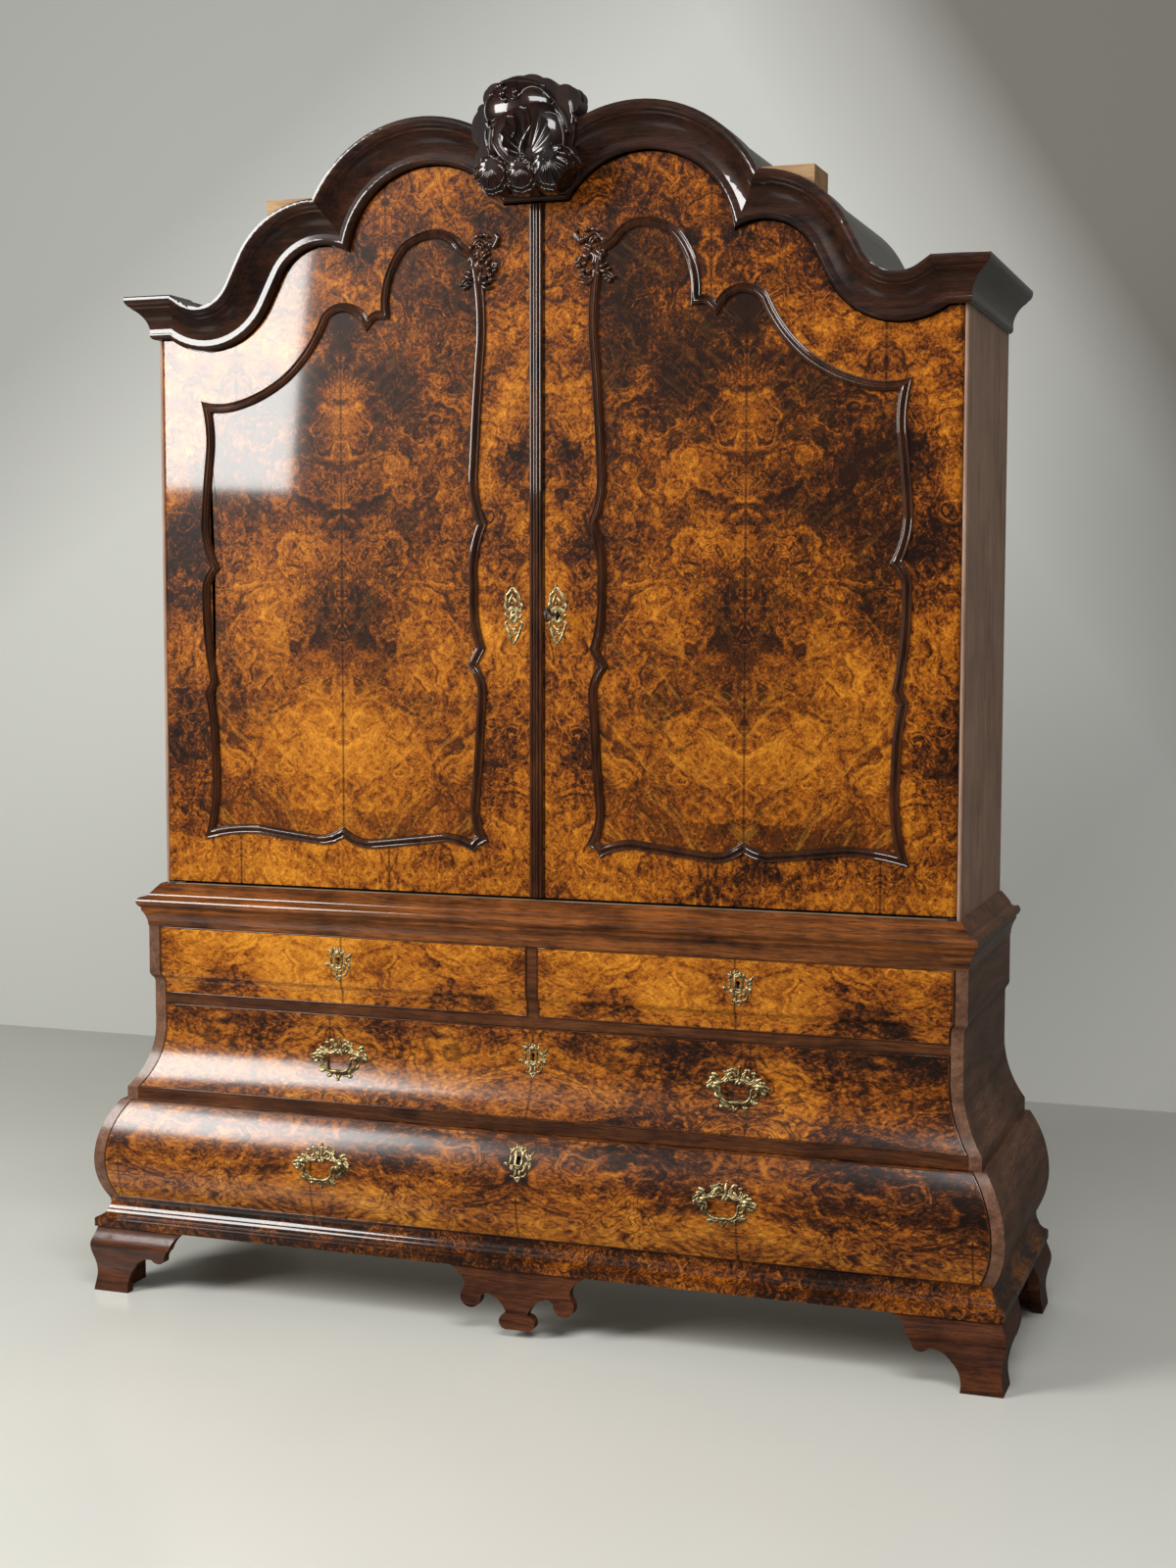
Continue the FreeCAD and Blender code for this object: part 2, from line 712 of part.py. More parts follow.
def upper_side(side):
    body = new_body("upper_side_left" if side < 0 else "upper_side_right")
    outer = S.plan_half + S.upper_reach
    start, length = outward(side, outer - S.board, outer)
    foot_z = Z_TOP + S.floor_board
    head = Z_CORNICE + S.cornice_rise - S.roof_down - S.roof_board
    back_of_bead = S.door_thick + 2
    pad(body, "xy", foot_z, head - foot_z, rectangle(start, back_of_bead, start + length, Y_BACK))
    near, far = side * (outer - S.bead_wide), side * outer
    round_y = S.bead_setback + S.bead_wide / 2
    bead = joined(
        [[(near, round_y), ((near + far) / 2, S.bead_setback), (far, round_y)]],
        lines((far, round_y), (far, back_of_bead + 1), (near, back_of_bead + 1)),
    )
    pad(body, "xy", foot_z, Z_CORNICE - S.seat_gap - foot_z, bead)
    node(body.Label, body)


def under_roof(n, bottom, half):
    """Outline under the arches, down to a straight bottom edge."""
    return joined(arch(n, half), lines((half, bottom), (-half, bottom)))


STAVE = 72  # width of a roof stave


def stave_kerfs(n, half):
    """Thin boxes between the staves of the roof, square to the arched line at the distance n."""
    runs = [curve(element) for element in arch(n, half)]
    high = S.roof_board * 3
    kerfs = []
    for before, run in zip(runs, runs[1:]):
        count = max(1, round(run.length() / STAVE))
        for step in range(count):
            at = run.FirstParameter + (run.LastParameter - run.FirstParameter) * step / count
            heading = run.tangent(at)[0]
            if step == 0:
                heading += before.tangent(before.LastParameter)[0]
            turn = FreeCAD.Rotation(V(0, 1, 0), -math.degrees(math.atan2(heading.y, heading.x)))
            corner = turn.multVec(V(-S.seat_gap / 2, 0, -high / 2))
            spot = run.value(at)
            kerf = doc.addObject("Part::Box", "kerf")
            bind(kerf, "Length", S.seat_gap)
            bind(kerf, "Width", Y_BACK + S.reveal)
            bind(kerf, "Height", high)
            kerf.Placement = FreeCAD.Placement(V(spot.x, 0, spot.y) + corner, turn)
            kerfs.append(kerf)
    return kerfs


def upper_boards():
    inside = S.plan_half + S.upper_reach - S.board
    foot_z = Z_TOP + S.floor_board
    roof_inner = S.cornice_rise - S.roof_down - S.roof_board
    back = new_body("upper_back")
    pad(back, "xz", Y_INNER_BACK, S.back_board, under_roof(roof_inner, foot_z, inside))
    node("upper_back", back)

    roof = new_body("roof_shell")
    outer = S.plan_half + S.upper_reach
    shell = joined(arch(roof_inner + S.roof_board, outer), backwards(arch(roof_inner, outer)))
    pad(roof, "xz", S.reveal, Y_BACK - S.reveal, shell)
    kerfs = stave_kerfs(roof_inner + S.roof_board / 2, outer)
    node("upper_roof", cut("upper_roof", roof, fuse("roof_kerfs", *kerfs)))

    floor = full_width("floor", inside, S.door_thick + 2, Y_INNER_BACK, Z_WAIST, Z_WAIST + S.floor_board)
    plinth = full_width("plinth", inside, Length(0), S.door_thick + 22, foot_z, Z_WAIST)
    hole_foot = (S.meeting_x - 55, S.door_thick + 8, Z_WAIST - 2)
    bolt_hole = rod("bolt_hole", "z", hole_foot, Length(5.6), Length(30))
    node("upper_floor", cut("upper_floor", fuse("floor_and_plinth", floor, plinth), bolt_hole))

    rail = new_body("cornice_rail")
    low = backwards(arch(-20.0, inside))
    pad(rail, "xz", S.door_thick + 2, S.floor_board, joined(arch(roof_inner, inside), low))
    node("cornice_rail", rail)


def shelves():
    inside = S.plan_half + S.upper_reach - S.board
    bearers = []
    for name, up in (("lower", S.shelf_1), ("middle", S.shelf_2), ("upper", S.shelf_3)):
        z = Z_WAIST + up
        board_node("shelf_" + name, inside, S.shelf_front, Y_INNER_BACK, z, z + S.floor_board)
        for side in (-1, 1):
            start, length = outward(side, inside - S.bearer, inside)
            corner = (start, S.shelf_front + 10, z - S.bearer)
            bearers.append(box("bearer", corner, (length, Y_INNER_BACK - S.shelf_front - 10, S.bearer)))
    node("shelf_bearers", fuse("shelf_bearers", *bearers))


CORNICE_REACH = 57.5  # no part of the section stands out beyond this


def cornice_section():
    """Reach against distance n over the underside."""
    rise = S.cornice_rise
    return joined(
        lines((-S.reveal, 0), (12, 0)),
        [[(12, 0), (18, 6), (18, 12)]],
        lines((18, 12), (18, 20)),
        [[(18, 20), (27, 43), (45, 60)]],
        lines((45, 60), (47, 63)),
        [[(47, 63), (55, 71), (56, rise)]],
        lines((56, rise), (-S.reveal, rise)),
    )


def pivot_x(side):
    return side * (S.plan_half + S.door_edge_reach - S.pivot_inset)


def cornice_front():
    end = S.plan_half + 62
    place = lambda q, n: V(-end, -q, Z_CORNICE + n)
    section = shaped("cornice_section", wire(cornice_section(), place))
    spine = shaped("cornice_line", wire(arch(0.0, float(end)), lambda u, v: V(u, 0, v)))
    swept = doc.addObject("Part::Sweep", "cornice_run")
    swept.Sections = [section]
    swept.Spine = (spine, [f"Edge{i + 1}" for i in range(len(spine.Shape.Edges))])
    swept.Solid = True
    swept.Transition = 1
    tools = []
    outer = S.plan_half + S.upper_reach
    for side in (-1, 1):
        mitre = new_body("mitre")
        triangle = lines(
            (side * outer, 60), (side * outer, -S.upper_reach), (side * (outer + 80), -S.upper_reach - 80),
            (side * (outer + 120), -S.upper_reach - 80), (side * (outer + 120), 60), (side * outer, 60))
        pad(mitre, "xy", Z_CORNICE - 40, Length(200), triangle)
        hole = (pivot_x(side), S.pivot_inset, Z_CORNICE - 1)
        tools += [mitre, rod("pivot_hole", "z", hole, S.pivot_radius + S.seat_gap, Length(20))]
    node("cornice_front", cut("cornice_front", swept, fuse("cornice_cuts", *tools)))


def cornice_returns():
    returns = []
    upper = S.upper_reach
    start = upper + S.seat_gap
    for side in (-1, 1):
        body = new_body("cornice_return")
        runs = [element for element in cornice_section() if min(q for q, _ in element) > upper]
        runs = joined([[(start, 0), (12, 0)]], runs, [[(56, S.cornice_rise), (start, S.cornice_rise)]])
        pad(body, "xz", Length(-80), Y_BACK + 80,
            moved(runs, lambda q, n: (side * (S.plan_half + q), Z_CORNICE + n)))
        over = 90
        x0, x1 = side * S.plan_half, side * (S.plan_half + over)
        corner = lines((x0, -over - 10), (x1, -over - 10), (x1, -over + 0.2), (x0, 0.2), (x0, -over - 10))
        pocket(body, "xy", corner)
        returns.append(body)
    node("cornice_returns", fuse("cornice_returns", *returns))


def vase_stands():
    stands = []
    top = Z_CORNICE + S.stand_top
    lobe = (S.plan_half - S.lobe_in, Z_CORNICE + S.lobe_up)
    radius = S.lobe_radius + S.cornice_rise + S.seat_gap
    near, far = lobe[0] + 6, lobe[0] + 108
    seat = [(u, lobe[1] + math.sqrt(radius**2 - (u - lobe[0]) ** 2)) for u in (near, (near + far) / 2, far)]
    for side in (-1, 1):
        body = new_body("vase_stand")
        outline = joined([seat], lines((far, top + 2), (near, top + 2)))
        pad(body, "xz", Length(-45), Length(107), moved(outline, lambda u, v: (side * u, v)))
        stands.append(body)
    node("vase_stands", fuse("vase_stands", *stands))


def fluted(label, lobes, rings):
    """A solid through fluted rings, each with its centre, its radius and the depth of its flutes."""
    sections = []
    for x, y, z, radius, depth in rings:
        points = []
        for step in range(lobes * 4):
            turn = math.pi / 2 * step / lobes
            far = radius + depth * math.cos(lobes * turn)
            points.append(V(x + far * math.sin(turn), y, z + far * math.cos(turn)))
        rim = Part.BSplineCurve()
        rim.interpolate(Points=points, PeriodicFlag=True)
        sections.append(shaped(label + "_ring", Part.Wire(rim.toShape())))
    item = doc.addObject("Part::Loft", label)
    item.Sections = sections
    item.Solid = True
    return item


def scallop(x, z, radius, lean):
    """A scallop in front of the crest board; its ribs run up to a hinge on the side that it leans to."""
    hinge = radius * 0.5
    shares = ((-40, 0, 0.96, 0), (-84, 0, 1, 0.04), (-98, 0.3, 0.8, 0.05), (-107, 0.85, 0.25, 0))
    rings = []
    for y, shift, wide, depth in shares:
        rings.append((x + lean * shift, y, z + hinge * shift, radius * wide, radius * depth))
    return fluted("scallop", 11, rings)


def crest():
    """Shell crest: a lobed board with a fluted shell on it, three scallops under it and knobs round it."""
    up = float(Z_CORNICE)
    right = [(0, 459), (40, 452), (70, 434), (100, 430), (112, 408), (100, 380), (98, 320), (112, 290),
             (92, 262), (62, 240)]
    left = [(-58, 240), (-92, 262), (-104, 290), (-92, 330), (-108, 360), (-96, 398), (-82, 412),
            (-76, 440), (-48, 448), (0, 459)]
    outline = bowed([(u, up + v) for u, v in right], 5) + [[(62, up + 240), (2, up + 236), (-58, up + 240)]]
    outline += bowed([(u, up + v) for u, v in left], 5)
    board = new_body("crest_board")
    pad(board, "xz", Length(-70), Length(50), outline)
    boss = ball("crest_boss", (9, -66, up + 338), (82, 44, 84))
    hood = ball("crest_hood", (-10, -62, up + 400), (74, 36, 50))
    scallops = [scallop(-58, up + 272, 39, 6), scallop(4, up + 269, 36, 0), scallop(66, up + 278, 45, -8)]
    knobs = [ball("knob", (u, -46, up + v), (17, 20, 17))
             for u, v in ((-92, 388), (-72, 424), (-44, 440), (98, 414))]
    whole = fuse("crest_whole", board, boss, hood, *scallops, *knobs)
    hinge = up + 308
    hollow = fluted("shell_hollow", 13, [
        (20, -130, hinge + 42, 66, 4), (20, -108, hinge + 38, 56, 4), (17, -90, hinge + 20, 34, 2.5),
        (13, -79, hinge + 4, 9, 0)])
    node("crest", cut("crest", whole, fuse("crest_cuts", hollow, cornice_block(), door_room())))


def door_room():
    """The room in front of the doors and under the arches, which the doors swing through."""
    body = new_body("door_room")
    half = float(S.plan_half)
    pad(body, "xz", Length(-200), Length(200), under_roof(0.0, Z_CORNICE - 50, half))
    return body


def cornice_block():
    """The room that the cornice takes up behind the crest, with a glue line's clearance."""
    body = new_body("cornice_block")
    n = S.cornice_rise + S.seat_gap
    half = float(S.plan_half)
    outline = joined(arch(float(n), half), backwards(arch(0.0, half)))
    pad(body, "xz", Length(-CORNICE_REACH) - S.seat_gap, Length(100), outline)
    return body


def pivot_plates():
    pieces = []
    for side in (-1, 1):
        x = pivot_x(side)
        start, length = outward(side, S.plan_half - 40, S.plan_half)
        plate_size = (length, S.door_thick - 2, S.pivot_plate)
        pieces.append(box("pivot_plate", (start, Length(1), Z_WAIST), plate_size))
        low = (x, S.pivot_inset, Z_WAIST + S.pivot_plate - 1)
        rise = S.door_foot_gap - S.pivot_plate + S.pivot_depth
        pieces.append(rod("foot_pin", "z", low, S.pivot_radius, rise))
        high = (x, S.pivot_inset, Z_CORNICE - S.door_head_gap - S.pivot_depth + 1)
        pieces.append(rod("head_pin", "z", high, S.pivot_radius, S.door_head_gap + S.pivot_depth + 17))
    node("pivot_plates", fuse("pivot_plates", *pieces))


# ---- doors ----

def door(side):
    body = new_body("left_door" if side < 0 else "right_door")
    outer = side * (S.plan_half + S.door_edge_reach)
    meeting = S.meeting_x + side * S.meeting_half
    bottom = Z_WAIST + S.door_foot_gap
    head = arch(-S.door_head_gap, S.plan_half + S.door_edge_reach, side)
    outline = joined([[(meeting, head[0][0][1]), head[0][0]]], head,
                     lines((outer, bottom), (meeting, bottom)))
    pad(body, "xz", Length(0), S.door_thick, outline)
    inset = S.pivot_inset
    x = pivot_x(side)
    half_turn = inset * math.sin(math.pi / 4)
    quarter = [(x, 0), (x + side * half_turn, inset - half_turn), (outer, inset)]
    pocket(body, "xy", joined([quarter], lines((outer, inset), (outer + side * 5, inset),
                                               (outer + side * 5, -5), (x, -5), (x, 0))))
    hole = S.pivot_radius + S.running
    pocket(body, "xy", circle(x, inset, hole), bottom, S.pivot_depth + 1)
    top = Z_CORNICE - S.door_head_gap
    pocket(body, "xy", circle(x, inset, hole), top - S.pivot_depth, S.pivot_depth)
    rebate_x = side * (S.plan_half - 50)
    pocket(body, "xy", rectangle(rebate_x, S.door_thick / 2, outer + side * 5, S.door_thick + 5),
           top - 10, Length(40))
    if side > 0:
        pocket(body, "xz", keyhole(S.key_x, Z_KEY, S.key_radius + 1.5, 14))
    node(body.Label, body)


# Outline of the right door's panel moulding as drawn for a plan_half of 838 and a door_rise of 1140:
# distance from the centre and height over the floor. Each row is one arc.
PANEL = [
    [(134, 952.5), (127.5, 963), (103, 976)], [(103, 976), (117, 1005), (121, 1075)],
    [(121, 1075), (113, 1186), (109, 1253)], [(109, 1253), (113, 1305), (127, 1331)],
    [(127, 1331), (118, 1347), (109.5, 1363)], [(109.5, 1363), (122, 1411), (125, 1485)],
    [(125, 1485), (120, 1570), (106, 1610)], [(106, 1610), (116, 1637), (124, 1727)],
    [(124, 1727), (118, 1836), (108, 1970)], [(108, 1970), (110, 2060), (123.5, 2147)],
    [(123.5, 2147), (148, 2157), (164, 2173)], [(164, 2173), (185, 2188), (213, 2195)],
    [(213, 2195), (255, 2189), (290, 2170)], [(290, 2170), (322, 2120), (336, 2042)],
    [(336, 2042), (349, 2041), (365, 2030)], [(365, 2030), (386, 2051), (423, 2060)],
    [(423, 2060), (448, 2054), (469, 2036)], [(469, 2036), (505, 1973), (553, 1923)],
    [(553, 1923), (600, 1894), (660, 1872)], [(660, 1872), (704, 1866.5), (747, 1873)],
    [(747, 1873), (736, 1810), (736, 1772)], [(736, 1772), (744.5, 1691), (750, 1620)],
    [(750, 1620), (744, 1570), (729, 1530)], [(729, 1530), (738.5, 1517), (749, 1492)],
    [(749, 1492), (748, 1410), (733, 1292)], [(733, 1292), (740, 1278), (746, 1267)],
    [(746, 1267), (734, 1195), (732, 1140)], [(732, 1140), (733, 1042), (750, 957)],
    [(750, 957), (690, 970), (623, 974)], [(623, 974), (537, 963), (480, 957)],
    [(480, 957), (452, 961), (427, 972)], [(427, 972), (401, 958), (361, 952)],
    [(361, 952), (292, 960), (201, 971.5)], [(201, 971.5), (165, 966), (134, 952.5)],
]


def panel_place(side):
    """Fits the drawn panel outline to the door: its margins stay and the rest follows the door's size."""
    lift = Z_WAIST - 862
    grow = (S.plan_half - 88 - 103) / (838 - 88 - 103)
    stretch = (S.door_rise - 110) / (1140 - 110)
    return lambda u, v: V(side * (103 + (u - 103) * grow), 0, 952 + lift + (v - 952) * stretch)


def raised(face, thick):
    return face.extrude(V(0, -float(thick), 0))


def ring(outer_wire, width):
    inner_wire = outer_wire.makeOffset2D(-float(width), 0, False, False)
    return Part.Face(outer_wire).cut(Part.Face(inner_wire))


CARVING = [(80, 2120), (86, 2150), (104, 2168), (124, 2180), (146, 2176), (156, 2158), (146, 2138),
           (142, 2112), (130, 2090), (112, 2074), (92, 2084), (80, 2100), (80, 2120)]


def door_mouldings(side):
    name = "left_door" if side < 0 else "right_door"
    place = panel_place(side)
    outline = wire(PANEL, place)
    wide = S.moulding_wide
    body = raised(ring(outline, wide), S.moulding_thick * 0.6)
    inner = outline.makeOffset2D(-float(wide) * 0.2, 0, False, False)
    body = body.fuse(raised(ring(inner, wide * 0.6), S.moulding_thick))
    lobes = wire(bowed(CARVING, 4), place)
    room = lobes.makeOffset2D(float(S.seat_gap), 0, False, False)
    body = body.cut(raised(Part.Face(room), S.moulding_thick + 5))
    node(name + "_moulding", shaped(name + "_moulding", body.removeSplitter()))
    leaf = raised(Part.Face(lobes), 8)
    for u, v, size in ((112, 2128, 22), (134, 2158, 16), (100, 2098, 15), (98, 2148, 14)):
        bump = Part.makeSphere(size)
        bump.translate(place(u, v) + V(0, -8 + size * 0.72, 0))
        keep = Part.makeBox(400, 60, 400, place(u, v) + V(-200, -60, -200))
        leaf = leaf.fuse(bump.common(keep))
    node(name + "_carving", shaped(name + "_carving", leaf.removeSplitter()))


def cusped_plate(cx, cz, half_outline, bow):
    """Closed outline of cusped arcs, mirrored about its upright middle line."""
    right = [(cx + u, cz + v) for u, v in half_outline]
    left = [(cx - u, cz + v) for u, v in reversed(half_outline)]
    return bowed(right + left[1:], bow)


TALL_PLATE = [(0, 59), (7, 49), (13, 33), (17, 18), (18.5, 2), (15, -12), (18, -26), (12, -42), (6, -52),
              (0, -59)]
SHORT_PLATE = [(0, 42), (15, 36), (27, 28), (38, 18), (35, 4), (38, -8), (27, -22), (18, -34), (0, -42)]
HANDLE_PLATE = [(0, 40), (20, 36), (38, 25), (56, 22), (66, 6), (57, -9), (43, -18), (28, -31), (10, -35),
                (0, -40)]


def door_escutcheon(side):
    name = "left_door_escutcheon" if side < 0 else "right_door_escutcheon"
    x = S.key_x if side > 0 else S.key_x - 93
    body = new_body(name)
    start = -S.plate_thick - S.seat_gap
    paths = [cusped_plate(x, Z_KEY, TALL_PLATE, 2.5)]
    if side > 0:
        paths.append(keyhole(x, Z_KEY, S.key_radius + 1.5, 14))
    pad(body, "xz", start, S.plate_thick, *paths)
    if side < 0:
        pad(body, "xz", start - 1.5, Length(2), circle(x, Z_KEY - 3, 7))
    node(name, body)


def meeting_moulding():
    body = new_body("meeting_moulding")
    top = arch(-S.door_head_gap, 0, 1)[0][0][1] - 2
    bottom = Z_WAIST + S.door_foot_gap
    last = S.meeting_x - S.meeting_half - 1
    first = last - 28
    edges = [last - 7.5, last - 14, last - 20.5]
    section = joined(
        lines((first, 0), (first, -2)),
        [[(first, -2), (first + 2, -5), (edges[2], -3)],
         [(edges[2], -3), (last - 17.25, -6), (edges[1], -4)]],
        [[(edges[1], -4), (last - 10.75, -8), (edges[0], -4)],
         [(edges[0], -4), (last - 3.5, -7), (last, -2)]],
        lines((last, -2), (last, 0)),
    )
    pad(body, "xy", bottom, top - bottom, section)
    node("meeting_moulding", body)


def lock_parts():
    thick = S.door_thick
    x0 = S.meeting_x + 3
    z0 = Z_KEY - S.lock_high / 2
    case = box("lock_case", (x0, thick, z0), (S.lock_wide, S.lock_thick, S.lock_high))
    half = S.bolt_half
    play = S.seat_gap
    channel = box("bolt_channel", (x0 - 1, thick + 5 - play, Z_KEY + 14 - play),
                  (S.lock_wide - 7, Length(6) + play * 2, half * 2 + play * 2))
    shank = rod("shank_hole", "y", (S.key_x, thick - 1, Z_KEY), S.key_radius + S.running, Length(30))
    room = rod("bit_room", "y", (S.key_x, thick + 3, Z_KEY), Length(13.5), Length(11))
    node("door_lock", cut("door_lock", case, fuse("lock_cuts", channel, shank, room)))
    corner = (x0, thick + 5, Z_KEY + 14)
    node("lock_bolt", box("bolt_bar", corner, (S.lock_wide - 22, Length(6), half * 2)), corner)
    keep_x = S.meeting_x - S.meeting_half - 34
    keep = box("keep", (keep_x, thick, Z_KEY + 14 - 10), (Length(33), S.lock_thick, half * 2 + 20))
    slot_size = (Length(40), Length(7), half * 2 + 1)
    slot = box("keep_slot", (keep_x + 8, thick + 5 - 0.5, Z_KEY + 14 - 0.5), slot_size)
    node("left_door_keep", cut("left_door_keep", keep, slot))


def key():
    """The key, drawn along Y with its turning axis through its own origin."""
    shank = rod("key_shank", "y", (Length(0), Length(-42), Length(0)), S.key_radius, S.door_thick + 42 + 15)
    collar = rod("key_collar", "y", (Length(0), Length(-30), Length(0)), S.key_radius + 2, Length(5))
    bow = doc.addObject("Part::Torus", "key_bow")
    bow.Radius1, bow.Radius2 = 12, 3
    bow.Placement = FreeCAD.Placement(V(0, -55, 0), FreeCAD.Rotation(V(0, 1, 0), 90))
    bit = box("key_bit", (Length(-1.5), S.door_thick + 4, Length(-12)), (Length(3), Length(8), Length(12)))
    item = fuse("key", shank, collar, bow, bit)
    node("key", item, (S.key_x, Length(0), Z_KEY))


def foot_bolt():
    """Bolt on the back of the left door, drawn up at rest, with its rod over a hole in the floor."""
    x = S.meeting_x - 55
    y = S.door_thick + 8
    start = Z_WAIST + S.floor_board + 3
    bar = rod("bolt_bar", "z", (x, y, start), Length(5), Length(150))
    knob = rod("bolt_knob", "y", (x, y, start + 120), Length(4), Length(16))
    node("left_door_bolt", fuse("left_door_bolt", bar, knob))
    plates = []
    for up in (25, 90):
        plates.append(box("staple", (x - 12, S.door_thick, start + up), (Length(24), Length(16), Length(14))))
    hole = rod("staple_hole", "z", (x, y, start), Length(5) + S.running, Length(150))
    node("left_door_staples", cut("left_door_staples", fuse("staples", *plates), hole))


# ---- drawers ----

DRAWERS = {
    "small_drawer_left": (-1, Z_SMALL, Z_TOP),
    "small_drawer_right": (1, Z_SMALL, Z_TOP),
    "middle_drawer": (0, Z_MIDDLE, Z_RAIL),
    "bottom_drawer": (0, Z_CASE, Z_BAND),
}


def drawer(name):
    side, low, high = DRAWERS[name]
    z0, z1 = low + S.drawer_gap, high - S.drawer_gap
    ends = surface(z0, z1, -S.board - S.drawer_side_gap)
    if side:
        inner = S.stile_half + S.drawer_side_gap
        outline = joined(on_side(ends, side), lines((side * inner, z1), (side * inner, z0)))
    else:
        outline = joined(on_side(ends, 1), backwards(on_side(ends, -1)))
    front = new_body(name + "_front")
    pad(front, "xz", Length(-FAR), Length(FAR + 60), outline)
    proud = S.front_proud
    face = on_front(surface(z0, z1, proud))
    rear = on_front(surface(z0, z1, proud - S.front_thick))
    pocket(front, "yz", joined(face, lines((-FAR - 10, z1), (-FAR - 10, z0))))
    pocket(front, "yz", joined(rear, lines((80, z1), (80, z0))))
    mount_x, mount_z = escutcheon_place(name)
    pocket(front, "xz", keyhole(mount_x, mount_z, 4.5, 13))
    node(name + "_front", front)

    play = 7
    wide = min(q for element in surface(z0, z1) for q, _ in element)
    outer = S.plan_half + (wide - S.board) - play
    x0, x1 = (-outer, outer) if not side else (
        (S.stile_half + 3, outer) if side > 0 else (-outer, -S.stile_half - 3))
    bottom = low + S.runner_gap
    top = high - 14
    front_y = -max(q for element in surface(z0, z1) for q, _ in element) - 5
    back_y = Y_INNER_BACK - S.drawer_back_room
    thick = S.drawer_board
    block = box(name + "_block", (x0, Length(front_y), bottom), (x1 - x0, back_y - front_y, top - bottom))
    hollow = box(name + "_hollow", (x0 + thick, Length(front_y - 5), bottom + thick),
                 (x1 - x0 - thick * 2, back_y - front_y + 5 - thick, high - low))
    clear = new_body(name + "_room")
    room = on_front(surface(low, high, proud - S.front_thick - S.seat_gap))
    pad(clear, "yz", x0 - 1, x1 - x0 + 2, joined(room, lines((-FAR - 10, high), (-FAR - 10, low))))
    node(name + "_box", cut(name + "_box", block, fuse(name + "_cuts", hollow, clear)))


def escutcheon_place(name):
    side, low, high = DRAWERS[name]
    if side:
        return side * S.mount_x, Z_TOP - 49
    return Length(0), (Z_MIDDLE + 121 if name == "middle_drawer" else Z_CASE + 163)


def brass_skin(label, x, half, z0, z1):
    """A curved sheet on the drawer's face, as thick as the plates."""
    skin = new_body(label)
    inner = S.front_proud + S.seat_gap
    sheet_outline = joined(on_front(surface(z0, z1, inner + S.plate_thick)),
                           backwards(on_front(surface(z0, z1, inner))))
    pad(skin, "yz", Length(float(x) - half), Length(half * 2), sheet_outline)
    return skin


def short_escutcheon(name):
    x, z = escutcheon_place(name)
    low, high = DRAWERS[name][1:]
    blank = new_body(name + "_blank")
    pad(blank, "xz", Length(-FAR), Length(FAR), cusped_plate(x, z, SHORT_PLATE, 4), keyhole(x, z, 4.5, 13))
    skin = brass_skin(name + "_plate", x, 60, max(low, z - 60), min(high, z + 60))
    return common(name + "_escutcheon", blank, skin)


def handle_mount(name, side, z):
    x = side * S.mount_x
    low, high = DRAWERS[name][1:]
    blank = new_body(name + "_handle_blank")
    opening = [[(x - 30, z), (x, z + 12), (x + 30, z)], [(x + 30, z), (x, z - 15), (x - 30, z)]]
    pad(blank, "xz", Length(-FAR), Length(FAR), cusped_plate(x, z, HANDLE_PLATE, 4), opening)
    skin = brass_skin(name + "_handle_skin", x, 80, max(low, z - 60), min(high, z + 60))
    plate = common(name + "_handle_plate", blank, skin)
    axis_y = -bail_axis_reach(z)
    solids = [plate]
    for end in (-1, 1):
        post_x = x + end * S.post_half
        post = rod("post", "y", (post_x, Length(axis_y), z), Length(3.5), S.standoff - S.seat_gap - 1)
        head = doc.addObject("Part::Sphere", "post_head")
        bind(head, "Radius", S.post_head)
        head.Placement.Base = V(post_x, axis_y, z)
        solids += [post, head]
    whole = fuse(name + "_handle", *solids)
    eye = rod("post_eye", "x", (x - 70, Length(axis_y), z), S.wire_radius + S.running, Length(140))
    return cut(name + "_handle_mount", whole, eye)


def bail(name, side, z):
    """A bail of bent wire, drawn hanging straight down from its own origin, then leaned out."""
    radius = S.wire_radius
    drop = S.bail_drop - radius
    label = f"{name}_bail_{'left' if side < 0 else 'right'}"
    reach_x = float(S.post_half + S.post_head)
    line = shaped(label + "_line", wire(bail_line(reach_x, float(drop)), lambda u, v: V(u, 0, v)))
    section = Part.Wire(Part.Circle(V(-reach_x, 0, 0), V(1, 0, 0), float(radius)).toShape())
    bent = doc.addObject("Part::Sweep", label + "_wire")
    bent.Sections = [shaped(label + "_section", section)]
    bent.Spine = (line, [f"Edge{i + 1}" for i in range(len(line.Shape.Edges))])
    bent.Solid = True
    rim, bulge = float(radius) - 0.5, float(S.swell_radius)
    half_swell = lines((13, rim), (13, 0), (-13, 0), (-13, rim)) + [[(-13, rim), (0, bulge), (13, rim)]]
    swell = doc.addObject("Part::Revolution", label + "_swell")
    swell.Source = shaped(label + "_half_swell", Part.Face(wire(half_swell, lambda u, v: V(u, 0, v - drop))))
    swell.Axis, swell.Base, swell.Angle = V(1, 0, 0), V(0, 0, -drop), 360
    item = fuse(label, bent, swell)
    item.Placement.Rotation = FreeCAD.Rotation(V(1, 0, 0), -float(S.bail_tilt))
    node(label, item, (side * S.mount_x, Length(-bail_axis_reach(z)), z))


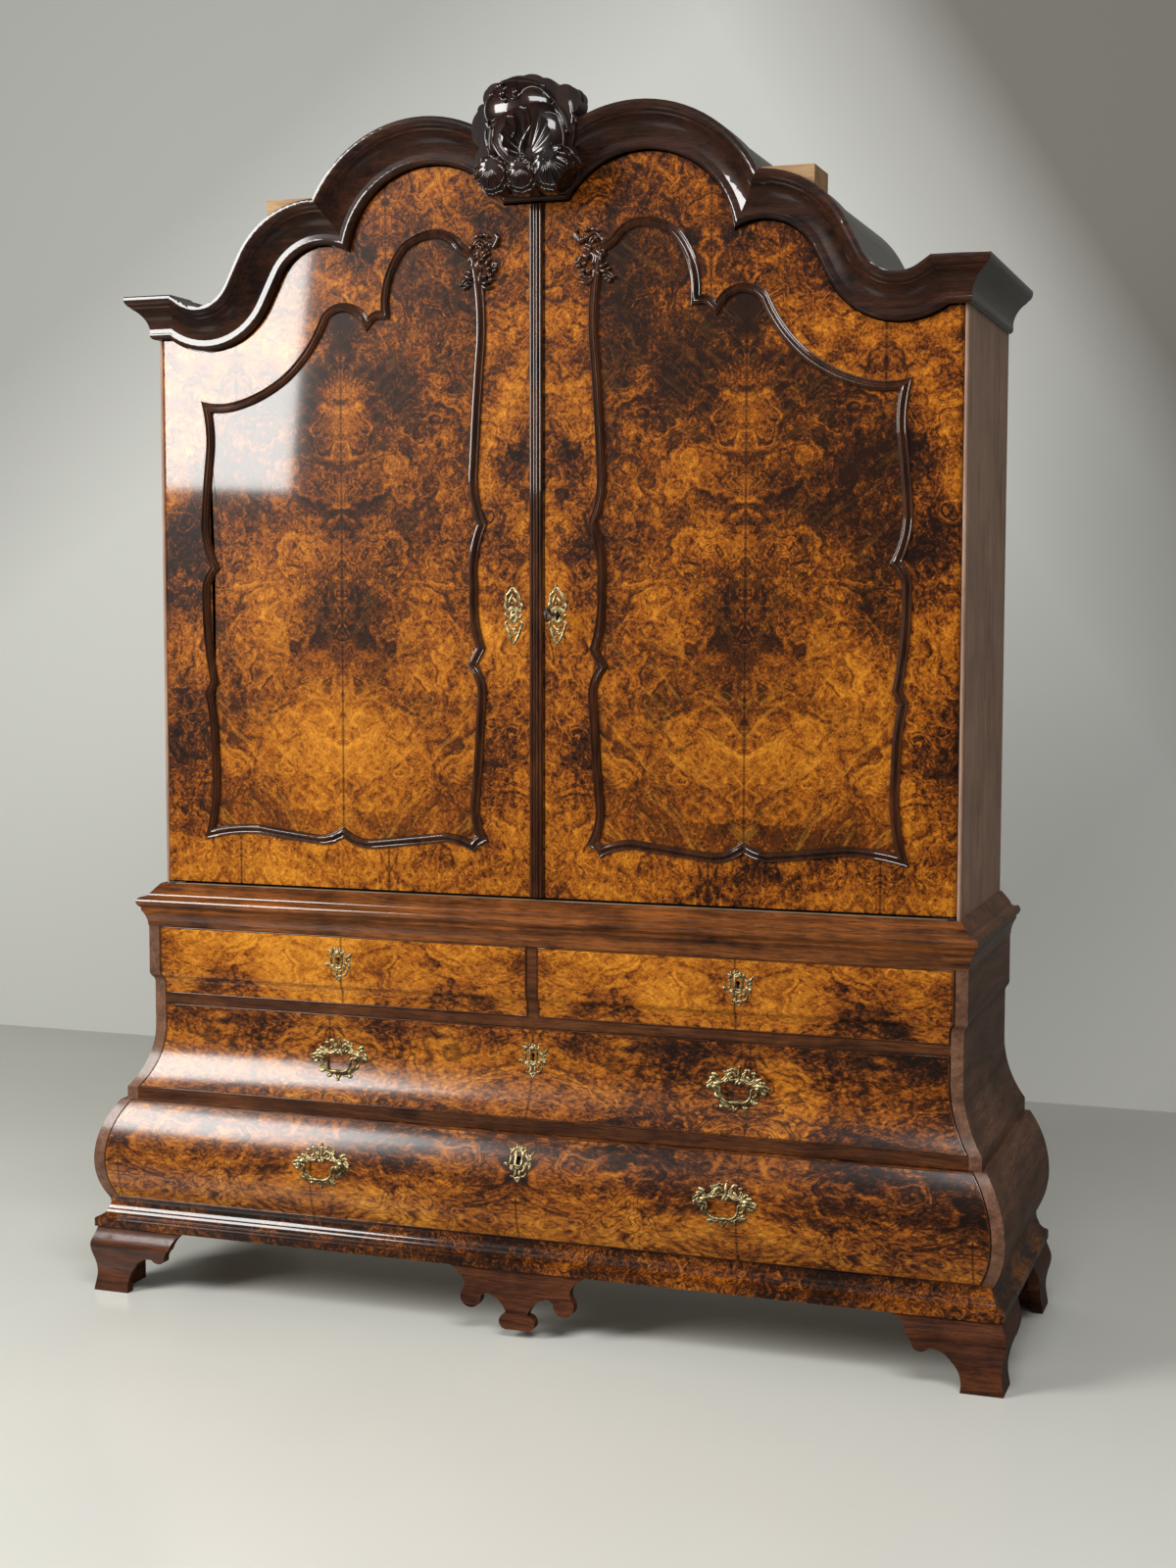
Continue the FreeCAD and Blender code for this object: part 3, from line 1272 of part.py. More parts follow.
def bail_line(reach_x, drop):
    turn = 5
    arm = float(S.post_half - S.post_head - S.seat_gap) - turn
    bend = drop - turn - 4
    diagonal = math.sin(math.pi / 4)
    left = [
        [(-reach_x, 0), (-arm - turn, 0)],
        [(-arm - turn, 0), (-arm - turn * (1 - diagonal), -turn * (1 - diagonal)), (-arm, -turn)],
        [(-arm, -turn), (-arm, -turn - 4)],
        [(-arm, -turn - 4), (-arm + bend * (1 - diagonal), -turn - 4 - bend * diagonal),
         (-arm + bend, -drop)],
    ]
    right = backwards(moved(left, lambda u, v: (-u, v)))
    return left + [[left[-1][-1], right[0][0]]] + right


def drawer_brass():
    for name in ("small_drawer_left", "small_drawer_right"):
        node(name + "_escutcheon", short_escutcheon(name))
    for name, z in (("middle_drawer", Z_MIDDLE_MOUNT), ("bottom_drawer", Z_BOTTOM_MOUNT)):
        pieces = [handle_mount(name, side, z) for side in (-1, 1)]
        node(name + "_mounts", fuse(name + "_mounts", short_escutcheon(name), *pieces))
        for side in (-1, 1):
            bail(name, side, z)


# ---- build ----

for side in (-1, 1):
    lower_side(side)
    upper_side(side)
    door(side)
    door_mouldings(side)
    door_escutcheon(side)
    for end in (-1, 1):
        foot(side, end)
lower_back()
boards_of_lower_case()
drawer_rails()
drawer_runners()
waist_moulding()
base_moulding()
apron_pendant()
upper_boards()
shelves()
cornice_front()
cornice_returns()
vase_stands()
crest()
pivot_plates()
meeting_moulding()
lock_parts()
key()
foot_bolt()
for name in DRAWERS:
    drawer(name)
drawer_brass()

doc.recompute()

for item in doc.Objects:
    if "Invalid" in item.State or "Error" in item.State:
        raise RuntimeError(f"{item.Label}: {item.State}")
    if item.TypeId == "PartDesign::Pocket" and item.BaseFeature.Shape.Volume - item.Shape.Volume < 1:
        raise RuntimeError(f"{item.Label} cuts nothing")
for item in NODES:
    if item.Shape.isNull() or not item.Shape.isValid():
        raise RuntimeError(f"{item.Label}: the shape isn't valid")
for item in NODES:
    item.Shape.exportStep(f"parts/{item.Label}.step")
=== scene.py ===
import json
import math

import bmesh
import bpy
from mathutils import Matrix, Vector
from mathutils.bvhtree import BVHTree


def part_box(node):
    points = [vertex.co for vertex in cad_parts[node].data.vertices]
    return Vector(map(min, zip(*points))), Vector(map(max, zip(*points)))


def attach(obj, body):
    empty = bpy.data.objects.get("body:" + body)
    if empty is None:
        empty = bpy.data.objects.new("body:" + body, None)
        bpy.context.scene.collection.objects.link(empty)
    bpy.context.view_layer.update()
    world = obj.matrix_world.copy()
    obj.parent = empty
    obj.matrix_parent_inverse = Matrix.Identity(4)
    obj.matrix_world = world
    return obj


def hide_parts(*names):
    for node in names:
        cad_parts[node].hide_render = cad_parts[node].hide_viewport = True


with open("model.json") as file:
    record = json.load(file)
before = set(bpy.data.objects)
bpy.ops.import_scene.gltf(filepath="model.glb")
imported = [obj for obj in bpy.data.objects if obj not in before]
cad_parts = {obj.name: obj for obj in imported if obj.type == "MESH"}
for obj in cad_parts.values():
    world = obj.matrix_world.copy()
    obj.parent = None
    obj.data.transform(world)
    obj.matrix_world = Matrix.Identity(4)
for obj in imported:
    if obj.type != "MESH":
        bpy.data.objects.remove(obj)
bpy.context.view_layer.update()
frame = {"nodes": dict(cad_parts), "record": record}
NODES = frame["nodes"]

# Lengths are in metres, unless a comment or a factor of MM says millimetres.
MM = 0.001

# ---- places taken from the frame ----

DOOR_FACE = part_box("left_door")[0].y
DOOR_SPLIT = (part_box("left_door")[1].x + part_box("right_door")[0].x) / 2
# The depth of the bails' axes, by drawer.
AXIS_Y = {joint["child"].split("_")[0] + "_drawer": joint["pos_m"][1]
          for joint in frame["record"]["behaviour"]["joints"]
          if joint["name"].endswith("bail_left_swing")}


# ---- camera: where the photograph was taken from, solved from the case's straight edges ----

SENSOR, LENS = 36.0, 50.30  # millimetres
YAW, TILT, ROLL = 19.540, -4.488, 0.0716  # degrees
VIEWPOINT = (1.55188, -4.07004, 1.43714)  # with y counted from the doors' face


def place_camera():
    data = bpy.data.cameras.new("camera")
    data.sensor_width = SENSOR
    data.lens = LENS
    data.clip_end = 60.0
    camera = bpy.data.objects.new("camera", data)
    bpy.context.scene.collection.objects.link(camera)
    x, y, z = VIEWPOINT
    camera.location = (x, y + DOOR_FACE, z)
    turn = (Matrix.Rotation(math.radians(YAW), 4, "Z")
            @ Matrix.Rotation(math.pi / 2 + math.radians(TILT), 4, "X")
            @ Matrix.Rotation(math.radians(ROLL), 4, "Z"))
    camera.rotation_euler = turn.to_euler()
    bpy.context.scene.camera = camera


# ---- materials ----

class Graph:
    """Builds one material's nodes; its methods take and return sockets, and finish returns the material."""

    def __init__(self, name):
        self.material = bpy.data.materials.new(name)
        self.material.use_nodes = True
        self.tree = self.material.node_tree
        self.shader = self.tree.nodes["Principled BSDF"]

    def add(self, kind, inputs=(), output=0, **settings):
        item = self.tree.nodes.new(kind)
        for name, value in settings.items():
            setattr(item, name, value)
        for key, value in dict(inputs).items():
            self.plug(item.inputs[key], value)
        return item.outputs[output]

    def plug(self, socket, value):
        if isinstance(value, bpy.types.NodeSocket):
            self.tree.links.new(value, socket)
        elif isinstance(value, tuple) and socket.type == "RGBA" and len(value) == 3:
            socket.default_value = (*value, 1.0)
        else:
            socket.default_value = value

    def place(self):
        return self.add("ShaderNodeTexCoord", output="Object")

    def parts(self, vector):
        item = self.tree.nodes.new("ShaderNodeSeparateXYZ")
        self.plug(item.inputs[0], vector)
        return item.outputs[0], item.outputs[1], item.outputs[2]

    def vector(self, x, y, z):
        return self.add("ShaderNodeCombineXYZ", {0: x, 1: y, 2: z})

    def math(self, operation, a, b=0.0):
        return self.add("ShaderNodeMath", {0: a, 1: b}, operation=operation)

    def plus(self, a, b):
        return self.math("ADD", a, b)

    def minus(self, a, b):
        return self.math("SUBTRACT", a, b)

    def times(self, a, b):
        return self.math("MULTIPLY", a, b)

    def shift(self, a, b):
        return self.add("ShaderNodeVectorMath", {0: a, 1: b}, operation="ADD")

    def scaled(self, vector, factors):
        return self.add("ShaderNodeVectorMath", {0: vector, 1: factors}, operation="MULTIPLY")

    def spread(self, value, low, high, start=0.0, end=1.0):
        """Brings the range from start to end to the range from low to high."""
        return self.add("ShaderNodeMapRange", {"Value": value, "From Min": start, "From Max": end,
                                               "To Min": low, "To Max": high})

    def noise(self, vector, scale, detail=4.0, rough=0.55, distortion=0.0, output="Fac"):
        return self.add("ShaderNodeTexNoise", {"Vector": vector, "Scale": scale, "Detail": detail,
                                               "Roughness": rough, "Distortion": distortion}, output=output)

    def cells(self, vector, scale, feature="F1"):
        return self.add("ShaderNodeTexVoronoi", {"Vector": vector, "Scale": scale}, output="Distance",
                        feature=feature)

    def ramp(self, value, *stops):
        """A stop is a position and a colour or a grey level."""
        item = self.tree.nodes.new("ShaderNodeValToRGB")
        self.plug(item.inputs[0], value)
        ends = item.color_ramp.elements
        while len(ends) < len(stops):
            ends.new(0.5)
        for element, (position, colour) in zip(ends, stops):
            element.position = position
            element.color = (*colour, 1.0) if isinstance(colour, tuple) else (colour, colour, colour, 1.0)
        return item.outputs[0]

    def mix(self, factor, a, b):
        item = self.tree.nodes.new("ShaderNodeMix")
        item.data_type = "RGBA"
        # The colour sockets of a Mix node share their names with its other kinds' and go by number.
        for socket, value in ((0, factor), (6, a), (7, b)):
            self.plug(item.inputs[socket], value)
        return item.outputs[2]

    def warped(self, vector, scale, amount):
        """The place moved about by a slow noise."""
        swirl = self.noise(vector, scale, 3.0, output="Color")
        centred = self.add("ShaderNodeVectorMath", {0: swirl, 1: (0.5, 0.5, 0.5)}, operation="SUBTRACT")
        return self.shift(vector, self.scaled(centred, (amount,) * 3))

    def bump(self, height, strength, distance):
        self.plug(self.shader.inputs["Normal"], self.add(
            "ShaderNodeBump", {"Height": height, "Strength": strength, "Distance": distance}))

    def finish(self, colour, rough, metallic=0.0, coat=0.0, coat_rough=0.05, specular=0.5):
        self.plug(self.shader.inputs["Base Color"], colour)
        self.plug(self.shader.inputs["Roughness"], rough)
        self.shader.inputs["Metallic"].default_value = metallic
        self.shader.inputs["Coat Weight"].default_value = coat
        self.shader.inputs["Coat Roughness"].default_value = coat_rough
        self.shader.inputs["Specular IOR Level"].default_value = specular
        return self.material


# The burr's colours, from its brightest growth to its darkest lines.
GOLD = (0.60, 0.235, 0.018)
AMBER = (0.36, 0.115, 0.006)
CHESTNUT = (0.200, 0.050, 0.003)
UMBER = (0.058, 0.0140, 0.0020)
PITCH = (0.010, 0.0033, 0.0015)

WHOLE = 4.0  # a leaf of veneer wider than the cupboard, so that no joint shows


def burr(name, seam=0.0, leaf=WHOLE, offset=(0.0, 0.0, 0.0), stretch=(1.0, 1.0, 1.0), fade=(),
         contour=0.5, feather=0.0, coat_rough=0.05, craze=0.0):
    """Varnished burr walnut: fine swirling growth, dark contour lines, clusters of eyes, matched leaves.

    seam and leaf: where along x two leaves of veneer meet, and how wide a leaf is.
    offset and stretch: which wood the leaves are cut from, and how drawn out it is.
    fade: rows of (axis, start, end, change); the colour grows darker or lighter along x or z.
    contour, feather and craze: the strength of the dark lines, of the feathered figure at the
    panels' foot, and of the varnish's fine cracks.
    """
    g = Graph(name)
    world = g.place()
    x, y, z = g.parts(g.place())
    leaves = g.vector(g.math("PINGPONG", g.minus(x, seam), leaf), y, z)
    place = g.shift(g.scaled(leaves, stretch), offset)

    # The growth, from broad clouds to fine flecks, added up to one level that picks the colour.
    swirl = g.warped(g.warped(place, 3.0, 0.26), 13.0, 0.045)
    broad = g.noise(swirl, 5.0, 5.0, 0.58, 0.4)
    loose = g.noise(g.warped(world, 2.5, 0.2), 3.4, 4.0, 0.6)
    flow = g.noise(g.warped(place, 4.0, 0.10), 6.5, 3.0, 0.55)
    along = g.noise(g.shift(place, (3.1, 7.7, 5.3)), 6.5, 2.0)
    ripple = g.noise(g.vector(g.times(flow, 42.0), g.times(along, 9.0), 0.0), 1.0, 3.0, 0.6)
    fine = g.noise(g.warped(place, 30.0, 0.020), 95.0, 5.0, 0.68, 0.8)
    fleck = g.noise(g.warped(place, 80.0, 0.006), 210.0, 3.0, 0.65, 0.6)
    level = g.minus(g.plus(g.times(broad, 0.52), g.times(loose, 0.50)), 0.51)
    for part, share in ((ripple, 0.50), (fine, 0.40), (fleck, 0.36)):
        level = g.plus(level, g.times(g.minus(part, 0.5), share))
    wx, _, wz = g.parts(world)
    for axis, start, end, change in fade:
        blurred = g.plus({"x": wx, "z": wz}[axis], g.times(g.minus(broad, 0.5), 0.55))
        level = g.plus(level, g.spread(blurred, 0.0, change, start, end))
    colour = g.ramp(g.plus(level, 0.5), (0.345, PITCH), (0.44, UMBER), (0.515, CHESTNUT),
                    (0.605, AMBER), (0.74, GOLD))

    # Dark contour lines in patches.
    lines = g.noise(g.warped(place, 5.0, 0.16), 8.0, 2.0, 0.5, 1.2)
    rings = g.math("PINGPONG", g.times(lines, 13.0), 0.5)
    veins = g.ramp(g.plus(rings, g.times(g.minus(fine, 0.5), 0.22)), (0.0, 1.0), (0.08, 0.8), (0.17, 0.0))
    patches = g.ramp(g.noise(place, 3.4, 2.0), (0.42, 0.0), (0.60, 1.0))
    colour = g.mix(g.times(g.times(veins, patches), contour), colour, PITCH)

    # Clusters of small eyes.
    clusters = g.ramp(g.noise(place, 4.4, 3.0, 0.6), (0.52, 0.0), (0.62, 1.0))
    eyes = g.ramp(g.cells(g.warped(place, 46.0, 0.012), 95.0), (0.0, 1.0), (0.22, 0.85), (0.42, 0.0))
    colour = g.mix(g.times(g.times(eyes, clusters), 0.5), colour, PITCH)

    if feather:
        sx, _, sz = g.parts(g.warped(place, 5.0, 0.08))
        run = g.minus(g.times(sx, 0.9), sz)
        streaks = g.noise(g.vector(g.times(run, 24.0), 0.0, g.times(sx, 6.0)), 1.5, 5.0, 0.66, 0.5)
        amount = g.times(g.spread(wz, 0.15, 1.0, 1.45, 1.15), feather)
        colour = g.mix(g.times(g.ramp(streaks, (0.42, 0.5), (0.54, 0.0)), amount), colour, CHESTNUT)
        colour = g.mix(g.times(g.ramp(streaks, (0.52, 0.0), (0.66, 0.9)), amount), colour, GOLD)
    if leaf < WHOLE:
        near = g.math("PINGPONG", g.minus(wx, seam), leaf)
        near = g.math("MINIMUM", near, g.minus(leaf, near))
        colour = g.mix(g.ramp(near, (0.0, 0.75), (0.0010, 0.0)), colour, PITCH)

    # The varnish: pores, slow waves and, on the doors, a net of cracks.
    pores = g.noise(g.scaled(place, (1.0, 1.0, 0.35)), 420.0, 2.0)
    waves = g.noise(world, 14.0, 4.0, 0.6)
    height = g.plus(g.times(pores, 0.06), waves)
    if craze:
        cracks = g.cells(g.warped(world, 20.0, 0.02), 120.0, "DISTANCE_TO_EDGE")
        height = g.plus(height, g.times(g.ramp(cracks, (0.0, 0.0), (0.06, 1.0)), craze))
    g.bump(height, 0.30, 0.0014)
    return g.finish(colour, g.spread(fine, 0.30, 0.46), coat=0.9, coat_rough=coat_rough, specular=0.12)


def straight_grain(name, light, dark, along, coat, coat_rough=0.10, rough=0.35):
    """Long-grained wood; along is the grain's direction."""
    g = Graph(name)
    stretch = {"x": (0.06, 1.0, 1.0), "y": (1.0, 0.06, 1.0), "z": (1.0, 1.0, 0.06)}[along]
    place = g.scaled(g.warped(g.place(), 2.5, 0.05), stretch)
    grain = g.noise(place, 46.0, 8.0, 0.70, 0.4)
    fibre = g.noise(place, 300.0, 3.0, 0.7)
    blotch = g.noise(g.place(), 7.0, 6.0, 0.62)
    colour = g.ramp(g.plus(g.times(grain, 0.6), g.times(blotch, 0.4)), (0.38, dark), (0.60, light))
    colour = g.mix(g.ramp(fibre, (0.38, 0.6), (0.55, 0.0)), colour, dark)
    g.bump(g.plus(g.times(fibre, 0.3), grain), 0.3, 0.0006)
    rough = g.spread(blotch, rough - 0.06, rough + 0.12)
    return g.finish(colour, rough, coat=coat, coat_rough=coat_rough, specular=0.15)


def brass_finish(name):
    """Old gilt brass: greenish gold, dark in the hollows, rubbed bright on the edges."""
    g = Graph(name)
    worn = g.noise(g.place(), 120.0, 4.0, 0.6)
    point = g.add("ShaderNodeNewGeometry", output="Pointiness")
    edge = g.ramp(g.plus(point, g.times(g.minus(worn, 0.5), 0.12)), (0.47, 0.0), (0.56, 1.0))
    colour = g.mix(edge, (0.13, 0.105, 0.042), (0.60, 0.49, 0.25))
    colour = g.mix(g.ramp(worn, (0.40, 0.75), (0.60, 0.0)), colour, (0.065, 0.052, 0.024))
    g.bump(worn, 0.4, 0.0004)
    return g.finish(colour, g.spread(worn, 0.28, 0.50), metallic=0.9)


def iron_finish(name):
    g = Graph(name)
    worn = g.noise(g.place(), 60.0, 5.0, 0.6)
    colour = g.ramp(worn, (0.35, (0.05, 0.045, 0.04)), (0.65, (0.22, 0.20, 0.18)))
    g.bump(worn, 0.3, 0.0004)
    return g.finish(colour, 0.42, metallic=0.9)


def paint(items, material):
    for item in items:
        item.data.materials.clear()
        item.data.materials.append(material)


def smooth(item, angle=28.0):
    """Shades the item smooth, with sharp edges where its faces meet at more than the angle."""
    for face in item.data.polygons:
        face.use_smooth = True
    modifier = item.modifiers.new("smooth", "EDGE_SPLIT")
    modifier.split_angle = math.radians(angle)


DARK = straight_grain("dark_walnut", (0.046, 0.014, 0.006), (0.004, 0.0018, 0.0013), "x",
                      coat=1.0, coat_rough=0.05)
CREST = straight_grain("crest_walnut", (0.030, 0.009, 0.0040), (0.004, 0.0022, 0.0018), "z",
                       coat=1.0, coat_rough=0.07)
DARK_UPRIGHT = straight_grain("dark_walnut_upright", (0.075, 0.022, 0.006), (0.008, 0.0032, 0.0020), "z",
                              coat=1.0, coat_rough=0.045)
WAIST = straight_grain("waist_walnut", (0.270, 0.080, 0.014), (0.020, 0.006, 0.0025), "x",
                       coat=0.9, coat_rough=0.07)
# Painted reflection: the upper sides' pale colour is partly walnut and partly stands in for the wall
# mirrored at a grazing angle.
SIDE = straight_grain("side_walnut", (0.400, 0.250, 0.175), (0.210, 0.120, 0.082), "z",
                      coat=0.30, coat_rough=0.3, rough=0.5)
LOWER_SIDE = straight_grain("lower_side_walnut", (0.210, 0.098, 0.055), (0.060, 0.027, 0.016), "y",
                            coat=0.5, coat_rough=0.16, rough=0.42)
FOOT = straight_grain("foot_walnut", (0.130, 0.038, 0.013), (0.016, 0.0055, 0.003), "x",
                      coat=0.5, coat_rough=0.16)
BEAD = straight_grain("bead_walnut", (0.110, 0.034, 0.009), (0.020, 0.006, 0.0025), "x",
                      coat=0.8, coat_rough=0.10)
RAIL = straight_grain("rail_walnut", (0.130, 0.040, 0.010), (0.018, 0.0055, 0.0025), "x",
                      coat=0.8, coat_rough=0.10)
OAK = straight_grain("bare_oak", (0.34, 0.24, 0.15), (0.16, 0.11, 0.07), "x", coat=0.0, rough=0.7)
OAK_UPRIGHT = straight_grain("bare_oak_upright", (0.27, 0.20, 0.13), (0.13, 0.09, 0.06), "z",
                             coat=0.0, rough=0.75)
STAND = straight_grain("stand_wood", (0.42, 0.27, 0.14), (0.24, 0.14, 0.07), "x", coat=0.0, rough=0.7)

PANEL_MIDDLE = 0.4265  # from the middle of the cupboard to the middle of each door's panel
PANELS = dict(leaf=0.33, offset=(7.3, 0.0, 0.4), contour=0.3, feather=0.5, craze=0.1,
              fade=(("z", 1.25, 1.75, -0.095), ("z", 1.2, 0.9, -0.03)))
PANEL_LEFT = burr("left_panel_burr", -PANEL_MIDDLE, **PANELS)
PANEL_RIGHT = burr("right_panel_burr", PANEL_MIDDLE, **PANELS)
DOOR = burr("door_burr", DOOR_SPLIT, 0.34, offset=(0.3, 0.0, 0.0), contour=0.3, craze=0.1,
            fade=(("z", 1.1, 2.3, -0.03), ("z", 1.1, 0.9, 0.03)))
SMALL = burr("small_drawer_burr", 0.0, 0.42, offset=(2.0, 0.0, 3.1), stretch=(0.6, 1.0, 1.0),
             fade=(("z", 0.55, 0.60, 0.075),), coat_rough=0.10)
# The middle and bottom fronts grow darker towards the right.
MIDDLE = burr("middle_drawer_burr", 0.0, 0.45, offset=(5.3, 0.0, 1.7), stretch=(0.55, 1.0, 1.0),
              fade=(("x", 0.0, 0.9, -0.06),), contour=0.8, coat_rough=0.17)
BOTTOM = burr("bottom_drawer_burr", 0.0, 0.45, offset=(9.1, 0.0, 6.4), stretch=(0.5, 1.0, 1.0),
              fade=(("x", 0.0, 0.9, -0.05), ("z", 1.0, 0.9, -0.005)), contour=0.8, coat_rough=0.20)
BASE = burr("base_burr", offset=(1.0, 4.0, 0.0), stretch=(1.6, 1.6, 1.6),
            fade=(("x", -3.0, -2.0, -0.095),), contour=0.2)
BRASS = brass_finish("gilt_brass")
IRON = iron_finish("forged_iron")

DRESS = (
    (DOOR, "left_door right_door"),
    (SMALL, "small_drawer_left_front small_drawer_right_front"),
    (MIDDLE, "middle_drawer_front"),
    (BOTTOM, "bottom_drawer_front"),
    (BASE, "base_moulding"),
    (WAIST, "waist_moulding"),
    (RAIL, "drawer_rails"),
    (DARK, "cornice_front cornice_returns upper_roof cornice_rail"),
    (CREST, "crest"),
    (DARK_UPRIGHT, "left_door_moulding right_door_moulding left_door_carving right_door_carving "
                   "meeting_moulding"),
    (SIDE, "upper_side_left upper_side_right"),
    (LOWER_SIDE, "lower_side_left lower_side_right"),
    (FOOT, "foot_front_left foot_front_right foot_rear_left foot_rear_right apron_pendant"),
    (OAK_UPRIGHT, "lower_back upper_back"),
    (STAND, "vase_stands"),
    (OAK, "lower_top lower_bottom drawer_runners upper_floor shelf_lower shelf_middle shelf_upper "
          "shelf_bearers small_drawer_left_box small_drawer_right_box middle_drawer_box bottom_drawer_box"),
    (BRASS, "left_door_escutcheon right_door_escutcheon small_drawer_left_escutcheon "
            "small_drawer_right_escutcheon middle_drawer_mounts bottom_drawer_mounts "
            "middle_drawer_bail_left middle_drawer_bail_right "
            "bottom_drawer_bail_left bottom_drawer_bail_right"),
    (IRON, "pivot_plates door_lock lock_bolt left_door_keep left_door_bolt left_door_staples key"),
)


def dress_nodes():
    for material, names in DRESS:
        paint([NODES[name] for name in names.split()], material)
    for item in NODES.values():
        smooth(item)


# ---- mesh work: carved and cast pieces built point by point ----

BEFORE = -2.0  # a depth in front of the whole cupboard, from which rays start
INWARD = Vector((0, 1, 0))


def tree_of(name):
    mesh = NODES[name].data
    return BVHTree.FromPolygons([v.co for v in mesh.vertices], [list(p.vertices) for p in mesh.polygons])


class Skin:
    """The front of a node that is the same right across its width, such as a drawer's."""

    def __init__(self, name, x):
        """x is where the section is taken, clear of key holes."""
        self.tree = tree_of(name)
        self.x = x
        low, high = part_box(name)
        self.low, self.high = low.z + 0.5 * MM, high.z - 0.5 * MM

    def at(self, x, z):
        start = Vector((self.x, BEFORE, min(max(z, self.low), self.high)))
        point, normal, _, _ = self.tree.ray_cast(start, INWARD)
        if normal.y > 0:
            normal = -normal
        return Vector((x, point.y, z)), normal


class Flat:
    """A flat front."""

    def __init__(self, y):
        self.y = y

    def at(self, x, z):
        return Vector((x, self.y, z)), Vector((0, -1, 0))


class Carved:
    """The front of a carved node, evened out over a few millimetres, with a flat ground beside it."""

    def __init__(self, name, ground):
        self.tree = tree_of(name)
        self.ground = ground

    def at(self, x, z):
        depth, lean = 0.0, Vector((0, -2.0, 0))
        spots = ((0, 0), (2, 0), (-2, 0), (0, 2), (0, -2))
        for dx, dz in spots:
            point, normal, _, _ = self.tree.ray_cast(Vector((x + dx * MM, BEFORE, z + dz * MM)), INWARD)
            depth += self.ground if point is None else point.y
            if normal is not None:
                lean += normal if normal.y < 0 else -normal
        return Vector((x, depth / len(spots), z)), lean.normalized()


def smooth_line(points, step):
    """Points at even steps along a curve through the given ones."""
    if len(points) == 2:
        (ax, ay), (bx, by) = points
        points = [points[0], ((ax + bx) / 2, (ay + by) / 2), points[1]]
    ends = [points[0]] + list(points) + [points[-1]]
    line = []
    for a, b, c, d in zip(ends, ends[1:], ends[2:], ends[3:]):
        count = max(2, int(math.hypot(c[0] - b[0], c[1] - b[1]) / step))
        for i in range(count):
            t = i / count
            line.append(tuple(0.5 * (2 * q + (r - p) * t + (2 * p - 5 * q + 4 * r - s) * t * t
                                     + (3 * q - p - 3 * r + s) * t ** 3) for p, q, r, s in zip(a, b, c, d)))
    return line + [tuple(points[-1])]


def beside(line, width, share):
    """The line moved sideways by a share of the width."""
    moved = []
    for i, (u, v) in enumerate(line):
        a, b = line[max(i - 1, 0)], line[min(i + 1, len(line) - 1)]
        size = math.hypot(b[0] - a[0], b[1] - a[1]) or 1.0
        moved.append((u - (b[1] - a[1]) / size * width * share, v + (b[0] - a[0]) / size * width * share))
    return moved


class Work:
    """Gathers the points and faces of one piece."""

    def __init__(self):
        self.points, self.faces = [], []

    def rings(self, rings, close=False):
        """Skins closed rings of equal length; close joins the last to the first, else the ends get caps."""
        first, size = len(self.points), len(rings[0])
        for ring in rings:
            self.points.extend(ring)
        count = len(rings)
        for i in range(count if close else count - 1):
            a, b = first + i * size, first + (i + 1) % count * size
            for j in range(size):
                k = (j + 1) % size
                self.faces.append((a + j, a + k, b + k, b + j))
        if not close:
            self.faces.append(tuple(range(first + size - 1, first - 1, -1)))
            self.faces.append(tuple(range(first + (count - 1) * size, first + count * size)))

    def rib(self, path, normals, widths, heights, lift, sides=10):
        """A rounded bar laid along a path; widths and heights are half sizes."""
        rings = []
        for i, (point, normal) in enumerate(zip(path, normals)):
            along = (path[min(i + 1, len(path) - 1)] - path[max(i - 1, 0)]).normalized()
            across = along.cross(normal).normalized()
            rings.append([point + normal * (lift + heights[i] * math.sin(a))
                          + across * widths[i] * math.cos(a)
                          for a in (2 * math.pi * j / sides for j in range(sides))])
        self.rings(rings)

    def ball(self, centre, radii, turn=None, steps=12):
        rings = []
        for i in range(steps + 1):
            a = math.pi * (0.04 + 0.92 * i / steps)
            ring = []
            for j in range(steps):
                b = 2 * math.pi * j / steps
                spot = Vector((radii[0] * math.sin(a) * math.cos(b), radii[1] * math.sin(a) * math.sin(b),
                               radii[2] * math.cos(a)))
                ring.append(centre + (turn @ spot if turn else spot))
            rings.append(ring)
        self.rings(rings)

    def lathe(self, centre, axis, profile, close=False, steps=20):
        """Turns a profile of (along, radius) round an axis."""
        axis = Vector(axis).normalized()
        side = axis.cross(Vector((0.3, 0.2, 0.9))).normalized()
        other = axis.cross(side)
        rings = [[centre + axis * along + (side * math.cos(a) + other * math.sin(a)) * radius
                  for a in (2 * math.pi * j / steps for j in range(steps))] for along, radius in profile]
        self.rings(rings, close)

    def piece(self, name, body, material, slot, *replaces, angle=50.0):
        mesh = bpy.data.meshes.new(name)
        mesh.from_pydata([tuple(p) for p in self.points], [], self.faces)
        shell = bmesh.new()
        shell.from_mesh(mesh)
        bmesh.ops.recalc_face_normals(shell, faces=shell.faces)
        shell.to_mesh(mesh)
        shell.free()
        item = bpy.data.objects.new(name, mesh)
        bpy.context.scene.collection.objects.link(item)
        item.data.materials.append(material)
        smooth(item, angle)
        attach(item, body)
        if replaces:
            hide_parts(*replaces)


# How full a stroke's ends are, beside its middle.
TAPER = {"bar": 0.4, "leaf": 0.12, "scroll": 0.55, "loop": 1.0, "double": 0.4}


